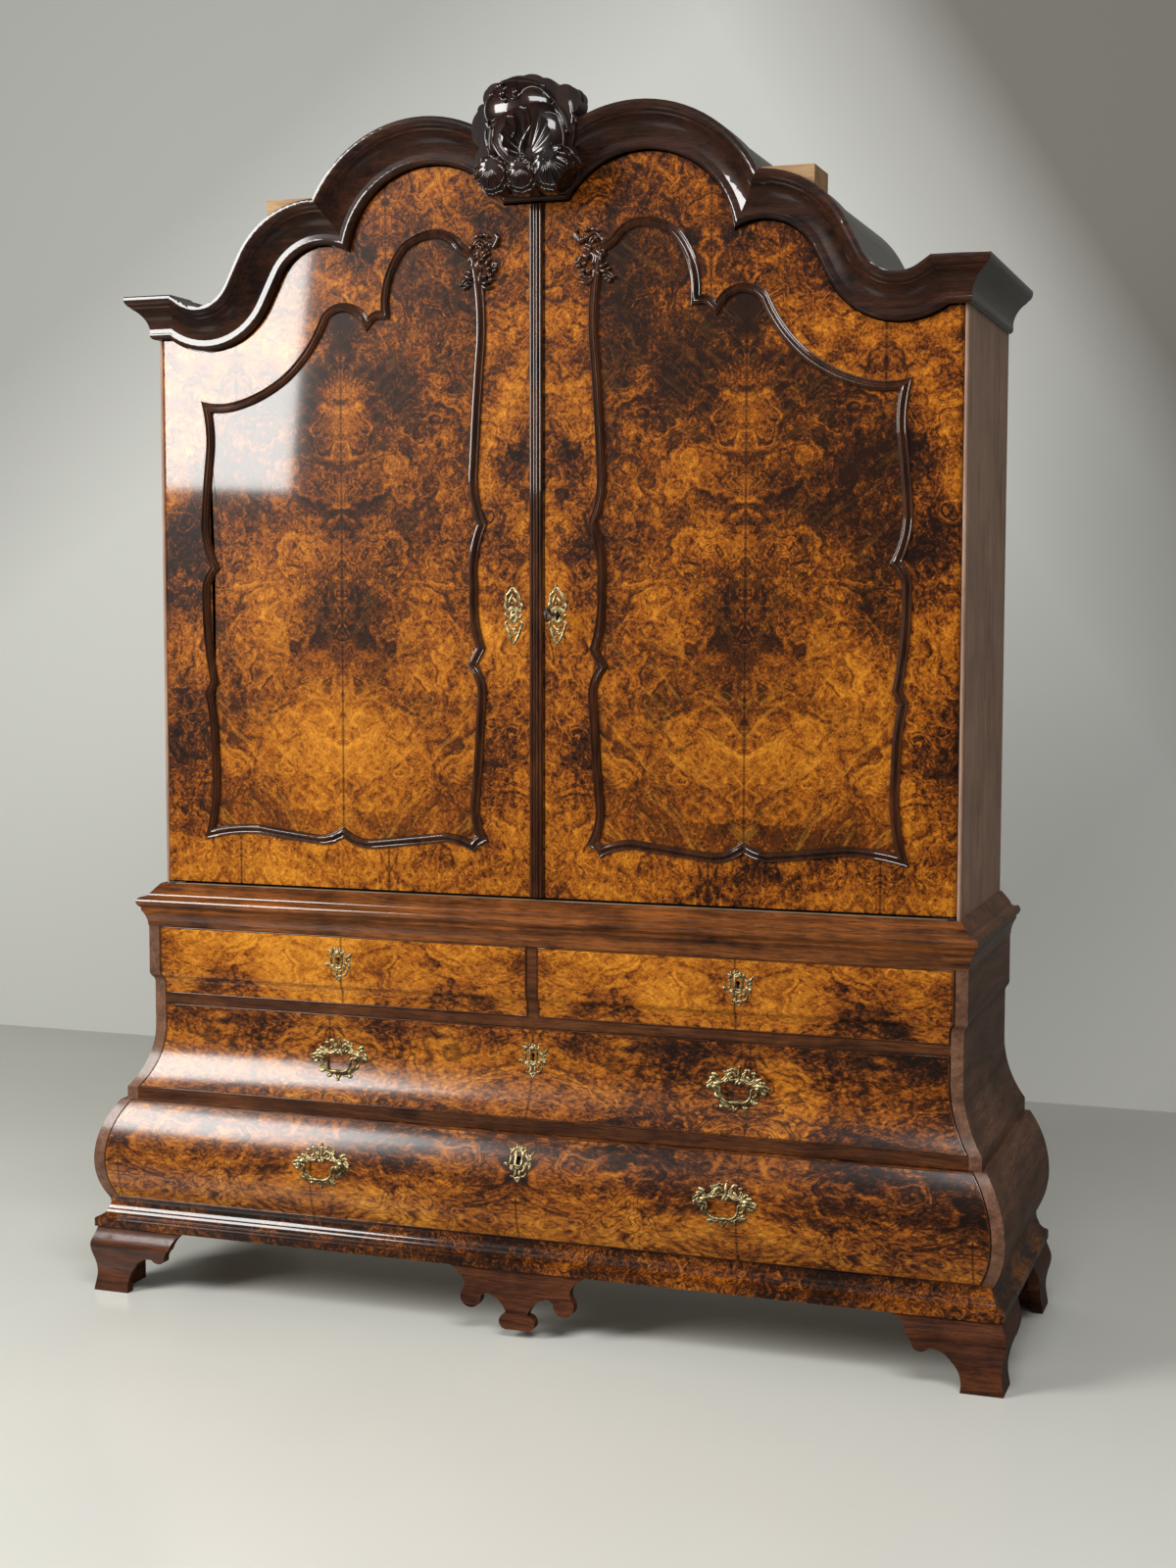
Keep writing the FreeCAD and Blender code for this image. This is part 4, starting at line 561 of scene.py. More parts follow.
def strokes(work, skin, centre, marks, side=1, scale=1.0, relief=0.9, lift=0.3, fat=1.0):
    """Lays carved or cast strokes on a skin.

    A mark is a kind, a half width and its points, in millimetres from the centre; side -1 mirrors it.
    relief is a stroke's height as a share of its width, lift raises it by so many millimetres, and fat
    widens it without making it higher.
    """
    cx, cz = centre

    def spot(u, v):
        return skin.at(cx + side * u * scale * MM, cz + v * scale * MM)

    def lay(line, width, taper):
        spots = [spot(u, v) for u, v in line]
        last = len(line) - 1
        sizes = [width * MM * scale * (taper + (1 - taper) * math.sin(math.pi * min(i / last, 1)) ** 0.5)
                 for i in range(last + 1)]
        work.rib([point for point, _ in spots], [normal for _, normal in spots],
                 [size * fat for size in sizes], [size * relief for size in sizes], lift * MM)

    def knob(u, v, radius):
        point, normal = spot(u, v)
        turn = Vector((0, 0, 1)).rotation_difference(normal).to_matrix()
        r = radius * MM * scale
        work.ball(point + normal * (lift * MM + r * 0.15), (r, r, r), turn)

    for kind, width, points in marks:
        if kind == "ball":
            for u, v in points:
                knob(u, v, width)
            continue
        line = smooth_line(points, 1.3)
        if kind == "double":
            for share in (-0.62, 0.62):
                lay(beside(line, width, share), width * 0.55, TAPER[kind])
        elif kind == "loop":
            lay(line + line[:2], width, TAPER[kind])
        else:
            lay(line, width, TAPER[kind])
            if kind == "scroll":
                knob(*line[-1], width * 1.35)


# ---- carving on the crest, in millimetres from the middle of the cupboard and over the cornice's foot ----

CREST_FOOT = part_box("crest")[0].z - 233 * MM
CREST_GROUND = DOOR_FACE - 0.058
# Each scallop's middle, its radius and how far it leans.
SCALLOPS = ((-58, 272, 39, 6), (4, 269, 36, 0), (66, 278, 45, -8))
SHELL = (
    ("scroll", 5.0, [(43, 435), (19, 445), (-11, 451), (-37, 450), (-50, 445), (-60, 436), (-60, 423)]),
    ("scroll", 4.5, [(3, 417), (8, 427), (24, 433), (41, 426), (55, 410), (70, 389), (81, 369), (88, 346)]),
    ("bar", 4.0, [(51, 381), (64, 380), (76, 372), (85, 348), (86, 324), (82, 303), (70, 292), (52, 292)]),
    ("leaf", 5.0, [(0, 395), (12, 392), (18, 382), (20, 368), (16, 352)]),
    ("leaf", 5.0, [(-29, 378), (-17, 377), (-9, 369), (-10, 353), (-16, 337)]),
    ("leaf", 6.0, [(23, 361), (12, 346), (2, 330), (-1, 315), (4, 298), (20, 282)]),
    ("leaf", 4.0, [(-55, 361), (-56, 342), (-47, 320), (-33, 302), (-14, 288)]),
    ("leaf", 4.0, [(-37, 349), (-37, 332), (-30, 315), (-19, 300)]),
    ("bar", 3.5, [(-78, 366), (-78, 341), (-64, 316), (-38, 294), (-16, 282), (11, 278), (36, 283)]),
    ("scroll", 4.0, [(-64, 379), (-76, 376), (-71, 367), (-56, 364), (-55, 374)]),
    ("bar", 5.0, [(93, 409), (97, 392), (100, 373), (98, 360)]),
    ("ball", 8.0, [(-34, 421), (-7, 422), (-48, 440)]), ("ball", 6.0, [(-27, 409), (3, 303)]),
    ("scroll", 4.0, [(-32, 410), (-42, 420), (-39, 429), (-30, 432)]),
    ("scroll", 4.0, [(-15, 411), (-4, 412), (-1, 421), (-10, 428)]),
)


def scallop_marks():
    """Two rims round each scallop, and ribs that fan out from its hinge."""
    marks = []
    for x, z, radius, lean in SCALLOPS:
        for share, width in ((0.93, 3.4), (0.74, 2.2)):
            turns = [math.radians(-125 + 25 * i) for i in range(11)]
            marks.append(("bar", width, [(x + share * radius * math.sin(a), z - share * radius * math.cos(a))
                                         for a in turns]))
        hinge = (x + lean * 0.6, z + 0.30 * radius)
        near, far = 0.12 * radius, 0.66 * radius
        for i in range(9):
            a = math.radians(-68 + 17 * i - lean * 2)
            end = (x + far * math.sin(a), z - far * math.cos(a))
            size = math.hypot(end[0] - hinge[0], end[1] - hinge[1])
            start = (hinge[0] + (end[0] - hinge[0]) * near / size,
                     hinge[1] + (end[1] - hinge[1]) * near / size)
            marks.append(("bar", 1.9, [start, end]))
    return marks


def crest_carving():
    work = Work()
    skin = Carved("crest", CREST_GROUND)
    strokes(work, skin, (0.0, CREST_FOOT), SHELL, relief=0.8, lift=0.2)
    strokes(work, skin, (0.0, CREST_FOOT), scallop_marks(), relief=0.8, lift=0.1)
    work.piece("crest_carving", "case", CREST, "dark")


# ---- brass: pierced scrollwork, in millimetres from each mount's middle ----

# A right handle's plate; the left one is its mirror image.
HANDLE = (
    ("bar", 2.3, [(2.2, 13), (1.2, 24), (2.2, 36)]), ("ball", 3.6, [(3, 38), (-12, 33), (-19.5, 29)]),
    ("scroll", 2.3, [(-4.4, 18.8), (-11, 25.5), (-18.8, 22), (-20, 16.6), (-15.5, 11), (-9, 12.2)]),
    ("ball", 3.2, [(-12.5, 16.5)]), ("leaf", 2.6, [(-4, 30), (-10, 32), (-19, 29), (-25, 26)]),
    ("leaf", 2.4, [(2.2, 14.4), (-2, 8), (-5.5, 1.1)]), ("leaf", 2.2, [(6.6, 10), (4, 6), (2.2, 2.2)]),
    ("double", 3.0, [(-27, 26), (-22, 19), (-28.8, 10), (-37.7, 7.8), (-43, 13.3), (-42, 18)]),
    ("ball", 3.0, [(-27, 27), (-41, 19)]), ("leaf", 3.4, [(-40, 13), (-48.7, 21), (-54, 20)]),
    ("leaf", 3.0, [(-44, 12), (-52, 14), (-58, 10)]), ("scroll", 2.2, [(-46, 16), (-54, 9), (-60, 3.3)]),
    ("bar", 2.0, [(-50, 6), (-54, 0), (-48.7, -9), (-43, -11)]),
    ("leaf", 2.6, [(-56, 2), (-60, -4), (-58, -10)]),
    ("double", 2.8, [(-31, -25.5), (-25, -33), (-16.6, -36.5), (-11, -33), (-13, -29)]),
    ("ball", 3.2, [(-18, -31.5), (-2.2, -45.5), (-31, -24)]),
    ("leaf", 3.0, [(-44, -12), (-41, -20), (-33, -24)]),
    ("leaf", 3.2, [(-24, -33), (-28, -38), (-34, -36)]),
    ("bar", 2.2, [(-9, -34), (-5, -38), (-2.2, -44)]), ("bar", 2.0, [(4, -36), (2, -41), (-2, -44)]),
    ("leaf", 2.6, [(-6, -33), (0, -30), (6, -33)]),
    ("double", 2.8, [(3.3, -35), (9, -31), (17.7, -33), (23.5, -30), (28, -25.5)]),
    ("leaf", 2.8, [(12, -33), (18, -39), (24, -37)]), ("scroll", 2.0, [(27, -22), (33, -26), (41, -21)]),
    ("scroll", 2.0, [(29, -18), (36, -17), (40, -11)]),
    ("double", 2.8, [(30, 3), (38.8, 7), (47.6, -1), (44, -10)]),
    ("leaf", 3.2, [(36, 9), (42, 15), (48, 14)]), ("leaf", 3.0, [(42, 9), (50, 9), (55, 4)]),
    ("scroll", 2.2, [(46, 3), (54, 3), (62, 0)]), ("leaf", 2.6, [(50, -3), (58, -6), (64, -3)]),
    ("leaf", 2.4, [(46, -7), (52, -12), (58, -11)]), ("leaf", 2.8, [(28, -25), (36, -30), (43, -27)]),
    ("double", 3.0, [(14, 26), (10, 20), (12, 13), (18, 8), (26, 8), (32.5, 12.5), (33, 19)]),
    ("ball", 3.0, [(14, 27), (32, 20), (63, -1), (-61, 3)]),
    ("leaf", 2.4, [(17, 21), (21, 15), (26, 14)]), ("leaf", 2.6, [(12, 27), (18, 32), (25, 30)]),
    ("leaf", 2.4, [(26, 24), (30, 27), (36, 25)]), ("bar", 1.9, [(5, 14), (10, 11), (13, 12)]),
    ("bar", 1.9, [(-9, 12), (-3, 13), (3, 14)]), ("leaf", 2.2, [(-18, 10), (-24, 8), (-29, 9)]),
    ("bar", 2.0, [(-42, 10), (-40, 2), (-42, -8), (-38, -14)]),
    ("bar", 2.0, [(40, 8), (37, -2), (41, -12), (36, -18)]),
)

# A drawer's key plate.
SHORT = (
    ("loop", 2.2, [(-7.4, 15), (8.8, 15), (8.8, -15.5), (-7.4, -15.5)]),
    ("bar", 2.4, [(-11.5, 6.5), (-8, 17), (0, 21.5), (8, 17), (13.2, 6.5)]),
    ("leaf", 2.4, [(-7, 20), (-8, 25), (-7.5, 29.5)]), ("leaf", 2.4, [(4, 20), (6, 24), (5.5, 28.5)]),
    ("leaf", 2.4, [(12, 14), (16, 19), (16, 24)]), ("leaf", 2.6, [(-15, 14), (-20, 19), (-27, 22)]),
    ("scroll", 2.2, [(-22, 8), (-20, 15), (-15, 20), (-17, 26)]),
    ("leaf", 2.2, [(0, 22), (-1, 27), (0, 31)]), ("scroll", 2.3, [(-22, 8), (-20, 0), (-21.5, -12)]),
    ("leaf", 2.4, [(-27, -20), (-33, -13), (-39, -16)]),
    ("double", 2.8, [(-21.5, -19), (-13, -18), (-17, -23), (-11.5, -27.5), (-5, -27.5)]),
    ("bar", 2.2, [(-6.5, -21.5), (2, -24), (10, -20)]),
    ("scroll", 2.4, [(-5, -27), (-4, -37), (-8.5, -44), (-14, -43)]),
    ("bar", 2.0, [(6.5, -28), (7.5, -41)]), ("scroll", 2.4, [(15, -15), (19, -22), (15, -29), (10, -30)]),
    ("double", 2.6, [(20, -18), (22, -11.5), (27, -9), (33, -11), (34, -14)]),
    ("leaf", 2.6, [(28, -12), (33, -18), (30, -24)]),
    ("scroll", 2.3, [(12.5, -42), (20, -41), (24, -36)]),
    ("ball", 3.2, [(25, -31), (3.5, -55), (-35, -15), (-14, -43)]),
    ("bar", 2.3, [(-1, -52), (1.5, -46), (7.5, -45), (7.5, -49), (3.5, -54)]),
    ("bar", 2.0, [(-6, -44), (-2, -50), (2, -54)]),
    ("leaf", 2.6, [(25, -8), (26, 0), (21.5, 7), (20, 12)]),
    ("leaf", 2.4, [(27.5, 6), (28, 10), (27.5, 12)]), ("leaf", 2.6, [(30, 3), (35, 11.5), (39, 16.5)]),
    ("leaf", 2.4, [(22, 0), (30, -2), (36, 3)]),
    ("ball", 2.6, [(39.5, 17), (-27.5, 22.5), (16, 25), (-7.5, 30.5), (5.5, 29.5), (20.5, 13)]),
)

# A door's key plate.
TALL = (
    ("leaf", 2.6, [(-2.5, 55), (-9.5, 43), (-14.5, 38), (-15.5, 24), (-13.5, 16)]),
    ("leaf", 2.6, [(-2.5, 55), (3.5, 46), (10.5, 37), (14.5, 23), (10.5, 15)]),
    ("leaf", 2.0, [(-2.5, 40), (-8, 28), (-10.5, 16)]), ("leaf", 2.0, [(-2, 34), (4, 26), (5.5, 18)]),
    ("double", 2.6, [(-14.5, 5), (-2.5, 13.5), (10.5, 8), (15, 1)]),
    ("ball", 2.8, [(-2.5, 57), (-2.5, 22), (3.5, -24)]),
    ("double", 2.6, [(-12.5, -6), (-0.5, -14.5), (11.5, -6)]),
    ("scroll", 2.2, [(-14.5, 5), (-17, -1), (-12.5, -6)]),
    ("scroll", 2.2, [(15, 1), (16, -4), (11.5, -7)]),
    ("leaf", 2.6, [(-15.5, -20), (-13.5, -28), (-9.5, -40), (-4.5, -53), (0, -57)]),
    ("leaf", 2.6, [(15.5, -23), (11.5, -38), (3.5, -53), (0, -57)]),
    ("leaf", 2.0, [(-8.5, -20), (-0.5, -31), (8.5, -20)]),
    ("scroll", 2.0, [(-1, -31), (2, -38), (7.5, -37)]),
    ("leaf", 2.2, [(-15, -12), (-17, -20), (-14, -27)]), ("leaf", 2.2, [(14, -12), (18, -19), (14, -27)]),
    ("leaf", 2.2, [(-16, 26), (-18, 16), (-14, 8)]), ("leaf", 2.2, [(15, 24), (18, 15), (15, 7)]),
    ("ball", 2.4, [(0, -58), (-4, -44), (-3, 46)]),
    ("loop", 1.8, [(-4.5, 6), (4.5, 6), (4.5, -13), (-4.5, -13)]),
)

SHORT_SCALE = 0.78  # the drawers' key plates beside the size they were drawn at
BESIDE_KEY = 0.12  # how far beside a key hole a drawer's section is taken
KEY_DROP = {"middle_drawer": 55, "bottom_drawer": 43}  # millimetres from a front's top to its key plate
BAIL_RADIUS = 3.0 * MM
EYE_OUT = 43 * MM  # from a handle's middle to each of its eyes
EYE_RADIUS, EYE_HALF, EYE_BORE = 6.3 * MM, 5.6 * MM, 3.1 * MM


def middle_of(name):
    low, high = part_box(name)
    return (low.x + high.x) / 2, (low.z + high.z) / 2


def bail_eye(work, skin, x, y, z):
    """A bored bead that holds one end of a bail, and the post that carries it."""
    eye = Vector((x, y, z))
    turns = [math.radians(-62 + 12.4 * i) for i in range(11)]
    bead = [(EYE_RADIUS * math.sin(a), EYE_RADIUS * math.cos(a)) for a in turns]
    work.lathe(eye, (1, 0, 0), [(-EYE_HALF, EYE_BORE)] + bead + [(EYE_HALF, EYE_BORE)], close=True)
    front, _ = skin.at(eye.x, z)
    stem = front.y - (y + 4 * MM)
    work.lathe(front, (0, -1, 0), [(-0.5 * MM, 7 * MM), (1.5 * MM, 7 * MM), (2.6 * MM, 5 * MM),
                                   (3.4 * MM, 3.4 * MM), (stem, 3.2 * MM)])


def brass_plates():
    lock_z = middle_of("left_door_escutcheon")[1]
    for name in ("left_door", "right_door"):
        x = middle_of(name + "_escutcheon")[0]
        work = Work()
        strokes(work, Flat(DOOR_FACE), (x, lock_z), TALL, relief=0.7, fat=1.3)
        if name == "left_door":
            # The left plate is blind: a boss fills its key hole.
            work.ball(Vector((x, DOOR_FACE - 1.5 * MM, lock_z - 3 * MM)), (4 * MM, 2.5 * MM, 6 * MM))
        work.piece(name + "_scrollwork", name, BRASS, "brass", name + "_escutcheon")
    for name in ("small_drawer_left", "small_drawer_right"):
        x, z = middle_of(name + "_escutcheon")
        work = Work()
        strokes(work, Skin(name + "_front", x + BESIDE_KEY), (x, z), SHORT, scale=SHORT_SCALE, fat=1.45)
        work.piece(name + "_scrollwork", name, BRASS, "brass", name + "_escutcheon")
    for name in ("middle_drawer", "bottom_drawer"):
        skin = Skin(name + "_front", BESIDE_KEY)
        work = Work()
        key_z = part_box(name + "_front")[1].z - KEY_DROP[name] * MM
        strokes(work, skin, (0.0, key_z), SHORT, scale=SHORT_SCALE, fat=1.45)
        for side, word in ((-1, "left"), (1, "right")):
            bail = f"{name}_bail_{word}"
            x = middle_of(bail)[0]
            axis_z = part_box(bail)[1].z - BAIL_RADIUS
            strokes(work, skin, (x, axis_z), HANDLE, side, fat=1.4)
            for end in (-1, 1):
                bail_eye(work, skin, x + end * EYE_OUT, AXIS_Y[name], axis_z)
        work.piece(name + "_scrollwork", name, BRASS, "brass", name + "_mounts")


# ---- door mouldings, panel veneers and leaf carvings ----

# The right door's panel outline, arc by arc: distance from the middle of the cupboard and height over
# the floor, in millimetres. The left door's is its mirror image.
PANEL = (
    ((134, 952.5), (127.5, 963), (103, 976)), ((103, 976), (117, 1005), (121, 1075)),
    ((121, 1075), (113, 1186), (109, 1253)), ((109, 1253), (113, 1305), (127, 1331)),
    ((127, 1331), (118, 1347), (109.5, 1363)), ((109.5, 1363), (122, 1411), (125, 1485)),
    ((125, 1485), (120, 1570), (106, 1610)), ((106, 1610), (116, 1637), (124, 1727)),
    ((124, 1727), (118, 1836), (108, 1970)), ((108, 1970), (110, 2060), (123.5, 2147)),
    ((123.5, 2147), (148, 2157), (164, 2173)), ((164, 2173), (185, 2188), (213, 2195)),
    ((213, 2195), (255, 2189), (290, 2170)), ((290, 2170), (322, 2120), (336, 2042)),
    ((336, 2042), (349, 2041), (365, 2030)), ((365, 2030), (386, 2051), (423, 2060)),
    ((423, 2060), (448, 2054), (469, 2036)), ((469, 2036), (505, 1973), (553, 1923)),
    ((553, 1923), (600, 1894), (660, 1872)), ((660, 1872), (704, 1866.5), (747, 1873)),
    ((747, 1873), (736, 1810), (736, 1772)), ((736, 1772), (744.5, 1691), (750, 1620)),
    ((750, 1620), (744, 1570), (729, 1530)), ((729, 1530), (738.5, 1517), (749, 1492)),
    ((749, 1492), (748, 1410), (733, 1292)), ((733, 1292), (740, 1278), (746, 1267)),
    ((746, 1267), (734, 1195), (732, 1140)), ((732, 1140), (733, 1042), (750, 957)),
    ((750, 957), (690, 970), (623, 974)), ((623, 974), (537, 963), (480, 957)),
    ((480, 957), (452, 961), (427, 972)), ((427, 972), (401, 958), (361, 952)),
    ((361, 952), (292, 960), (201, 971.5)), ((201, 971.5), (165, 966), (134, 952.5)),
)

# The moulding's section, in millimetres: distance in from the outline, and height over the door.
SECTION = (
    (0, 0), (0, 2.4), (0.8, 3.9), (2.0, 4.5), (3.2, 3.9), (3.8, 2.6), (4.6, 2.4), (6.4, 3.2),
    (8.6, 5.4), (10.2, 7.6), (11.2, 8.8), (12.4, 9.2), (13.6, 8.6), (14.2, 7.2), (14.8, 7.0),
    (15.6, 7.6), (16.8, 7.4), (17.8, 6.0), (18.4, 3.6), (19.2, 2.2), (20.0, 1.2), (20.0, 0),
)
VENEER_INSET = 9.0  # millimetres from the outline to the panel veneer's edge, under the moulding

# Leaf carving at a panel's upper inner corner: where its middle is, and its marks on the right door.
CORNER_X, CORNER_Z = 0.118, 2.127
CORNER = (
    ("scroll", 5.0, [(-31, 51), (-37, 44), (-35, 36), (-28, 26), (-22, 30)]), ("ball", 6.0, [(-14, 34)]),
    ("bar", 4.2, [(-17, 22), (-9, 18), (-4, 12)]), ("bar", 3.6, [(-20, 16), (-12, 12), (-6, 6)]),
    ("double", 5.5, [(-11, 25), (-6, 35), (3, 39), (9, 33), (13, 27)]),
    ("scroll", 3.4, [(-3, 21), (0, 27), (6, 32)]), ("leaf", 5.5, [(-8, 0), (-1, 3), (4, -7), (-4, -19)]),
    ("leaf", 5.0, [(0, 4), (8, -4), (6, -16), (8, -24)]),
    ("leaf", 5.0, [(4, 10), (14, 2), (16, -10), (14, -22)]), ("leaf", 4.4, [(10, 14), (20, 8), (24, -4)]),
    ("ball", 6.0, [(-33, -13), (-18, -16), (-21, -29), (-9, -31)]),
    ("scroll", 4.4, [(-30, -2), (-34, -10), (-30, -20)]),
    ("bar", 4.6, [(-27, -49), (-16, -53), (-9, -52), (-2, -46)]),
    ("scroll", 4.4, [(-4, -44), (-14, -42), (-22, -38)]),
    ("double", 5.0, [(18, -38), (27, -36), (35, -41), (39, -46)]),
    ("ball", 5.0, [(27, -47), (33, -51), (40, -44)]), ("leaf", 5.4, [(13, -27), (22, -32), (35, -25)]),
    ("leaf", 4.6, [(10, -22), (20, -22), (30, -16)]), ("leaf", 5.0, [(-22, 6), (-16, -2), (-12, -12)]),
    ("leaf", 4.6, [(-26, 0), (-28, -8), (-24, -16)]), ("leaf", 4.6, [(-6, 48), (4, 50), (14, 44)]),
    ("leaf", 4.6, [(-18, 44), (-12, 50), (-4, 53)]), ("leaf", 4.6, [(14, 36), (20, 28), (20, 18)]),
    ("bar", 4.0, [(0, -26), (2, -36), (0, -46)]), ("leaf", 4.6, [(4, -28), (10, -38), (10, -48)]),
)


def arc_points(a, b, c, step=5.0):
    """Points from a to just before c on the circle through all three."""
    ax, ay, bx, by, cx, cy = *a, *b, *c
    d = 2 * (ax * (by - cy) + bx * (cy - ay) + cx * (ay - by))
    if abs(d) < 1e-3:
        return [a]
    sa, sb, sc = ax * ax + ay * ay, bx * bx + by * by, cx * cx + cy * cy
    ox = (sa * (by - cy) + sb * (cy - ay) + sc * (ay - by)) / d
    oy = (sa * (cx - bx) + sb * (ax - cx) + sc * (bx - ax)) / d
    r = math.hypot(ax - ox, ay - oy)
    start, end = math.atan2(ay - oy, ax - ox), math.atan2(cy - oy, cx - ox)
    sweep = (end - start + math.pi) % (2 * math.pi) - math.pi
    count = max(2, int(abs(sweep) * r / step))
    return [(ox + r * math.cos(start + sweep * i / count), oy + r * math.sin(start + sweep * i / count))
            for i in range(count)]


def panel_levels(offsets):
    """The panel outline moved inward by each offset, point for point, with mitred corners."""
    line, corners = [], []
    for a, b, c in PANEL:
        corners.append(len(line))
        line += arc_points(a, b, c)
    count = len(line)
    area = sum(p[0] * q[1] - q[0] * p[1] for p, q in zip(line, line[1:] + line[:1]))
    turn = 1 if area > 0 else -1

    def heading(i, j):
        p, q = line[i % count], line[j % count]
        size = math.hypot(q[0] - p[0], q[1] - p[1])
        return (q[0] - p[0]) / size, (q[1] - p[1]) / size

    # Where the outline turns by more than 9 degrees, the moulding has a mitre.
    mitre = {}
    for i in corners:
        (ax, ay), (bx, by) = heading(i - 1, i), heading(i, i + 1)
        if ax * bx + ay * by >= math.cos(math.radians(9)):
            continue
        nx, ny = -(ay + by) * turn, (ax + bx) * turn
        size = math.hypot(nx, ny)
        nx, ny = nx / size, ny / size
        stretch = 1 / max(nx * -ay * turn + ny * ax * turn, 0.3)
        mitre[i] = (nx * stretch, ny * stretch)
    sharp = list(mitre)

    levels = []
    for offset in offsets:
        level = []
        for i in range(count):
            x, y = line[i]
            if i in mitre:
                level.append((x + mitre[i][0] * offset, y + mitre[i][1] * offset))
                continue
            hx, hy = heading(i - 1, i + 1)
            spot = (x - hy * turn * offset, y + hx * turn * offset)
            # A point that would pass a mitre's line stays on it.
            before = max((s for s in sharp if s <= i), default=sharp[-1])
            after = min((s for s in sharp if s > i), default=sharp[0])
            for s, want in ((before, 1), (after, -1)):
                mx, my = mitre[s]
                sx, sy = line[s]
                side = mx * (spot[1] - sy) - my * (spot[0] - sx)
                if side * turn * want > 0:
                    spot = (sx + mx * offset, sy + my * offset)
            level.append(spot)
        levels.append(level)
    return levels


def door_woodwork():
    levels = panel_levels([inward for inward, _ in SECTION])
    inner = panel_levels([VENEER_INSET])[0]
    for name, side, veneer in (("left_door", -1, PANEL_LEFT), ("right_door", 1, PANEL_RIGHT)):
        work = Work()
        work.rings([[Vector((side * u * MM, DOOR_FACE - height * MM, v * MM)) for u, v in level]
                    for level, (_, height) in zip(levels, SECTION)], close=True)
        work.piece(name + "_panel_moulding", name, DARK_UPRIGHT, "dark", name + "_moulding", angle=32.0)
        work = Work()
        work.rings([[Vector((side * u * MM, DOOR_FACE - height * MM, v * MM)) for u, v in inner]
                    for height in (0.05, 0.6)])
        work.piece(name + "_panel_veneer", name, veneer, "burr")
        work = Work()
        strokes(work, Flat(DOOR_FACE - 2.5 * MM), (CORNER_X * side, CORNER_Z), CORNER, side,
                relief=1.15, lift=0.5)
        work.piece(name + "_leaf_carving", name, DARK_UPRIGHT, "dark", name + "_carving")


# ---- cock beads round the drawer fronts ----

BEAD_INSET = 1.5 * MM  # from a front's edge to the bead's middle
BEAD_HIGH, BEAD_WIDE = 0.9 * MM, 1.4 * MM  # half sizes


def cock_beads():
    for name in ("small_drawer_left", "small_drawer_right", "middle_drawer", "bottom_drawer"):
        node = name + "_front"
        tree = tree_of(node)
        low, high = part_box(node)
        middle = (low.x + high.x) / 2 + 0.1
        skin = Skin(node, middle)

        def edge(z, side):
            """The x of the front's edge at a height, found by halving, less the inset."""
            depth = skin.at(0, z)[0].y
            near, far = middle, (high.x if side > 0 else low.x) + side * MM
            for _ in range(18):
                x = (near + far) / 2
                hit = tree.ray_cast(Vector((x, BEFORE, z)), INWARD)[0]
                on_front = hit is not None and abs(hit.y - depth) < 0.004
                near, far = (x, far) if on_front else (near, x)
            return near - side * BEAD_INSET

        bottom, top = low.z + BEAD_INSET, high.z - BEAD_INSET
        up, across = 60, 24
        heights = [bottom + (top - bottom) * i / up for i in range(up + 1)]
        right = [(edge(z, 1), z) for z in heights]
        left = [(edge(z, -1), z) for z in heights]
        upper = [(right[-1][0] + (left[-1][0] - right[-1][0]) * i / across, top) for i in range(1, across)]
        lower = [(left[0][0] + (right[0][0] - left[0][0]) * i / across, bottom) for i in range(1, across)]
        spots = [skin.at(x, z) for x, z in right + upper + left[::-1] + lower]
        rings = []
        for i, (point, normal) in enumerate(spots):
            ahead = (spots[(i + 1) % len(spots)][0] - point).normalized()
            behind = (point - spots[i - 1][0]).normalized()
            along = (ahead + behind).normalized()
            outward = along.cross(normal).normalized() / max(along.dot(ahead), 0.5)
            rings.append([point + normal * (BEAD_HIGH * math.sin(a)) + outward * (BEAD_WIDE * math.cos(a))
                          for a in (2 * math.pi * j / 8 for j in range(8))])
        work = Work()
        work.rings(rings, close=True)
        work.piece(name + "_cock_bead", name, BEAD, "burr")


# ---- room and light ----

FLOOR_HALF = 14
WALL_HALF, WALL_HIGH, WALL_Y = 9, 6, 2.2
WORLD_LIGHT, WORLD_IN_POLISH = 0.30, 0.035
WINDOW_WATTS, TOP_WATTS = 260.0, 150.0


def soft_light(name, centre, aim, size, power, colour=(1.0, 1.0, 1.0)):
    data = bpy.data.lights.new(name, "AREA")
    data.shape = "RECTANGLE"
    data.size, data.size_y = size
    data.energy = power
    data.color = colour
    lamp = bpy.data.objects.new(name, data)
    bpy.context.scene.collection.objects.link(lamp)
    lamp.location = centre
    lamp.rotation_euler = (Vector(aim) - Vector(centre)).to_track_quat("-Z", "Y").to_euler()


def floor_finish():
    """Pale floor; the dark polish above it mirrors a darker one."""
    g = Graph("pale_floor")
    cloud = g.noise(g.place(), 0.9, 3.0)
    colour = g.mix(cloud, (0.62, 0.62, 0.575), (0.72, 0.72, 0.665))
    colour = g.mix(g.add("ShaderNodeLightPath", output="Is Glossy Ray"), colour, (0.10, 0.095, 0.085))
    return g.finish(colour, 0.25, specular=0.4)


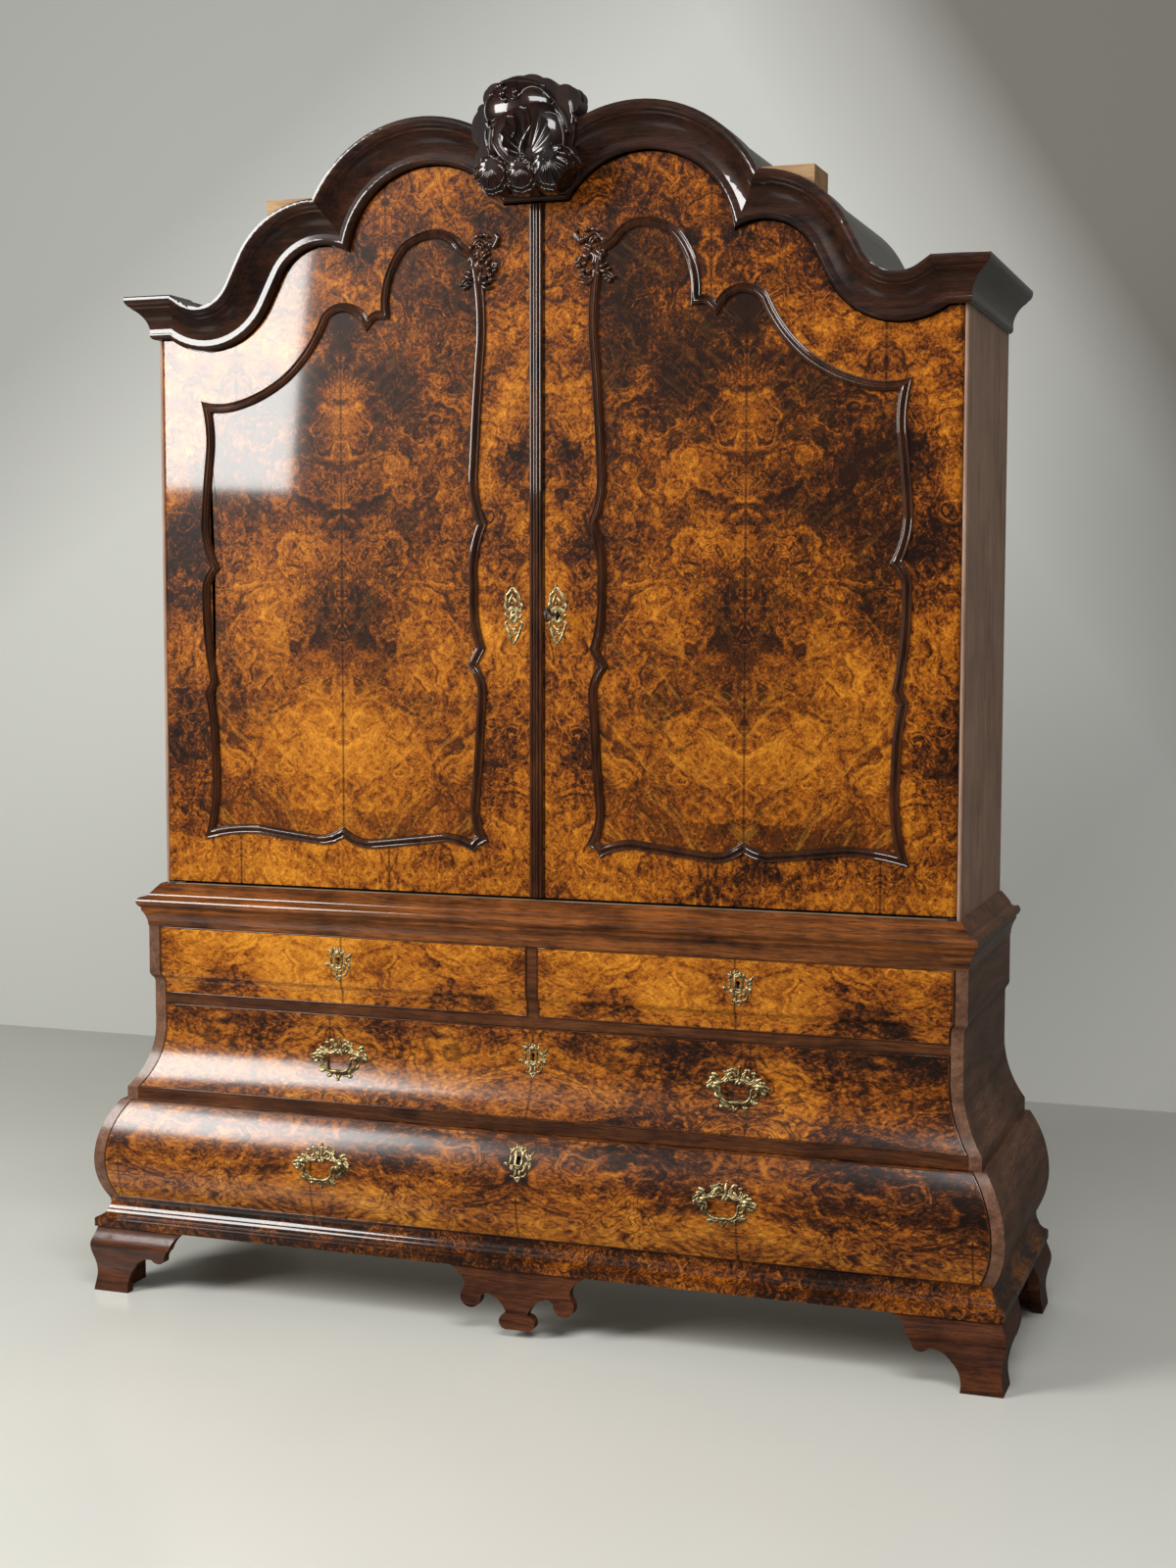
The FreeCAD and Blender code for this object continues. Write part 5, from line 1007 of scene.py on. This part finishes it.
def wall_finish():
    """Pale wall with painted shade at both upper corners and painted light low at the right; from behind,
    the camera sees through it.
    """
    g = Graph("pale_wall")
    x, _, z = g.parts(g.place())
    # Painted shade: the wall grows darker towards its upper right and its upper left corner.
    right = g.plus(g.times(x, 0.9), g.times(g.minus(z, 2.0), 0.55))
    left = g.minus(g.times(z, 0.35), g.times(x, 0.25))
    colour = g.mix(g.ramp(g.minus(left, 0.9), (0.3, 0.0), (0.6, 1.0)), (0.56, 0.565, 0.54),
                   (0.38, 0.385, 0.365))
    # Painted light: the wall grows lighter low at the right, making up for the lamps' falloff.
    lower = g.ramp(g.minus(x, z), (0.0, 0.0), (0.9, 1.0))
    colour = g.mix(lower, colour, (0.74, 0.735, 0.70))
    colour = g.mix(g.ramp(right, (0.35, 0.0), (0.75, 0.45), (1.15, 1.0)), colour, (0.19, 0.18, 0.16))
    # Glossy rays see a darker wall, so the polish mirrors a darker one.
    colour = g.mix(g.add("ShaderNodeLightPath", output="Is Glossy Ray"), colour, (0.12, 0.12, 0.11))
    behind = g.times(g.add("ShaderNodeNewGeometry", output="Backfacing"),
                     g.add("ShaderNodeLightPath", output="Is Camera Ray"))
    g.plug(g.shader.inputs["Alpha"], g.minus(1.0, behind))
    return g.finish(colour, 0.8, specular=0.2)


def stage_sheet(name, corners, material):
    mesh = bpy.data.meshes.new(name)
    mesh.from_pydata(corners, [], [(0, 1, 2, 3)])
    item = bpy.data.objects.new(name, mesh)
    bpy.context.scene.collection.objects.link(item)
    paint([item], material)


def light_world():
    """An even grey world, dimmer where polish mirrors it."""
    world = bpy.data.worlds.new("world")
    bpy.context.scene.world = world
    world.use_nodes = True
    tree = world.node_tree
    back = tree.nodes["Background"]
    back.inputs[0].default_value = (0.80, 0.81, 0.80, 1.0)
    path = tree.nodes.new("ShaderNodeLightPath")
    level = tree.nodes.new("ShaderNodeMapRange")
    level.inputs["To Min"].default_value = WORLD_LIGHT
    level.inputs["To Max"].default_value = WORLD_IN_POLISH
    tree.links.new(path.outputs["Is Glossy Ray"], level.inputs["Value"])
    tree.links.new(level.outputs[0], back.inputs[1])


def build_room():
    a, w = FLOOR_HALF, WALL_HALF
    stage_sheet("floor", [(-a, -a, 0), (a, -a, 0), (a, a, 0), (-a, a, 0)], floor_finish())
    stage_sheet("wall", [(-w, WALL_Y, 0), (w, WALL_Y, 0), (w, WALL_Y, WALL_HIGH), (-w, WALL_Y, WALL_HIGH)],
                wall_finish())
    light_world()
    soft_light("window", (-3.4, -3.6, 2.9), (0.0, 0.0, 1.2), (2.2, 2.0), WINDOW_WATTS, (1.0, 0.99, 0.96))
    soft_light("top_fill", (1.6, -3.2, 4.4), (0.2, 0.0, 1.0), (3.0, 1.2), TOP_WATTS)
    bpy.context.scene.view_settings.view_transform = "Standard"


place_camera()
dress_nodes()
door_woodwork()
cock_beads()
crest_carving()
brass_plates()
build_room()
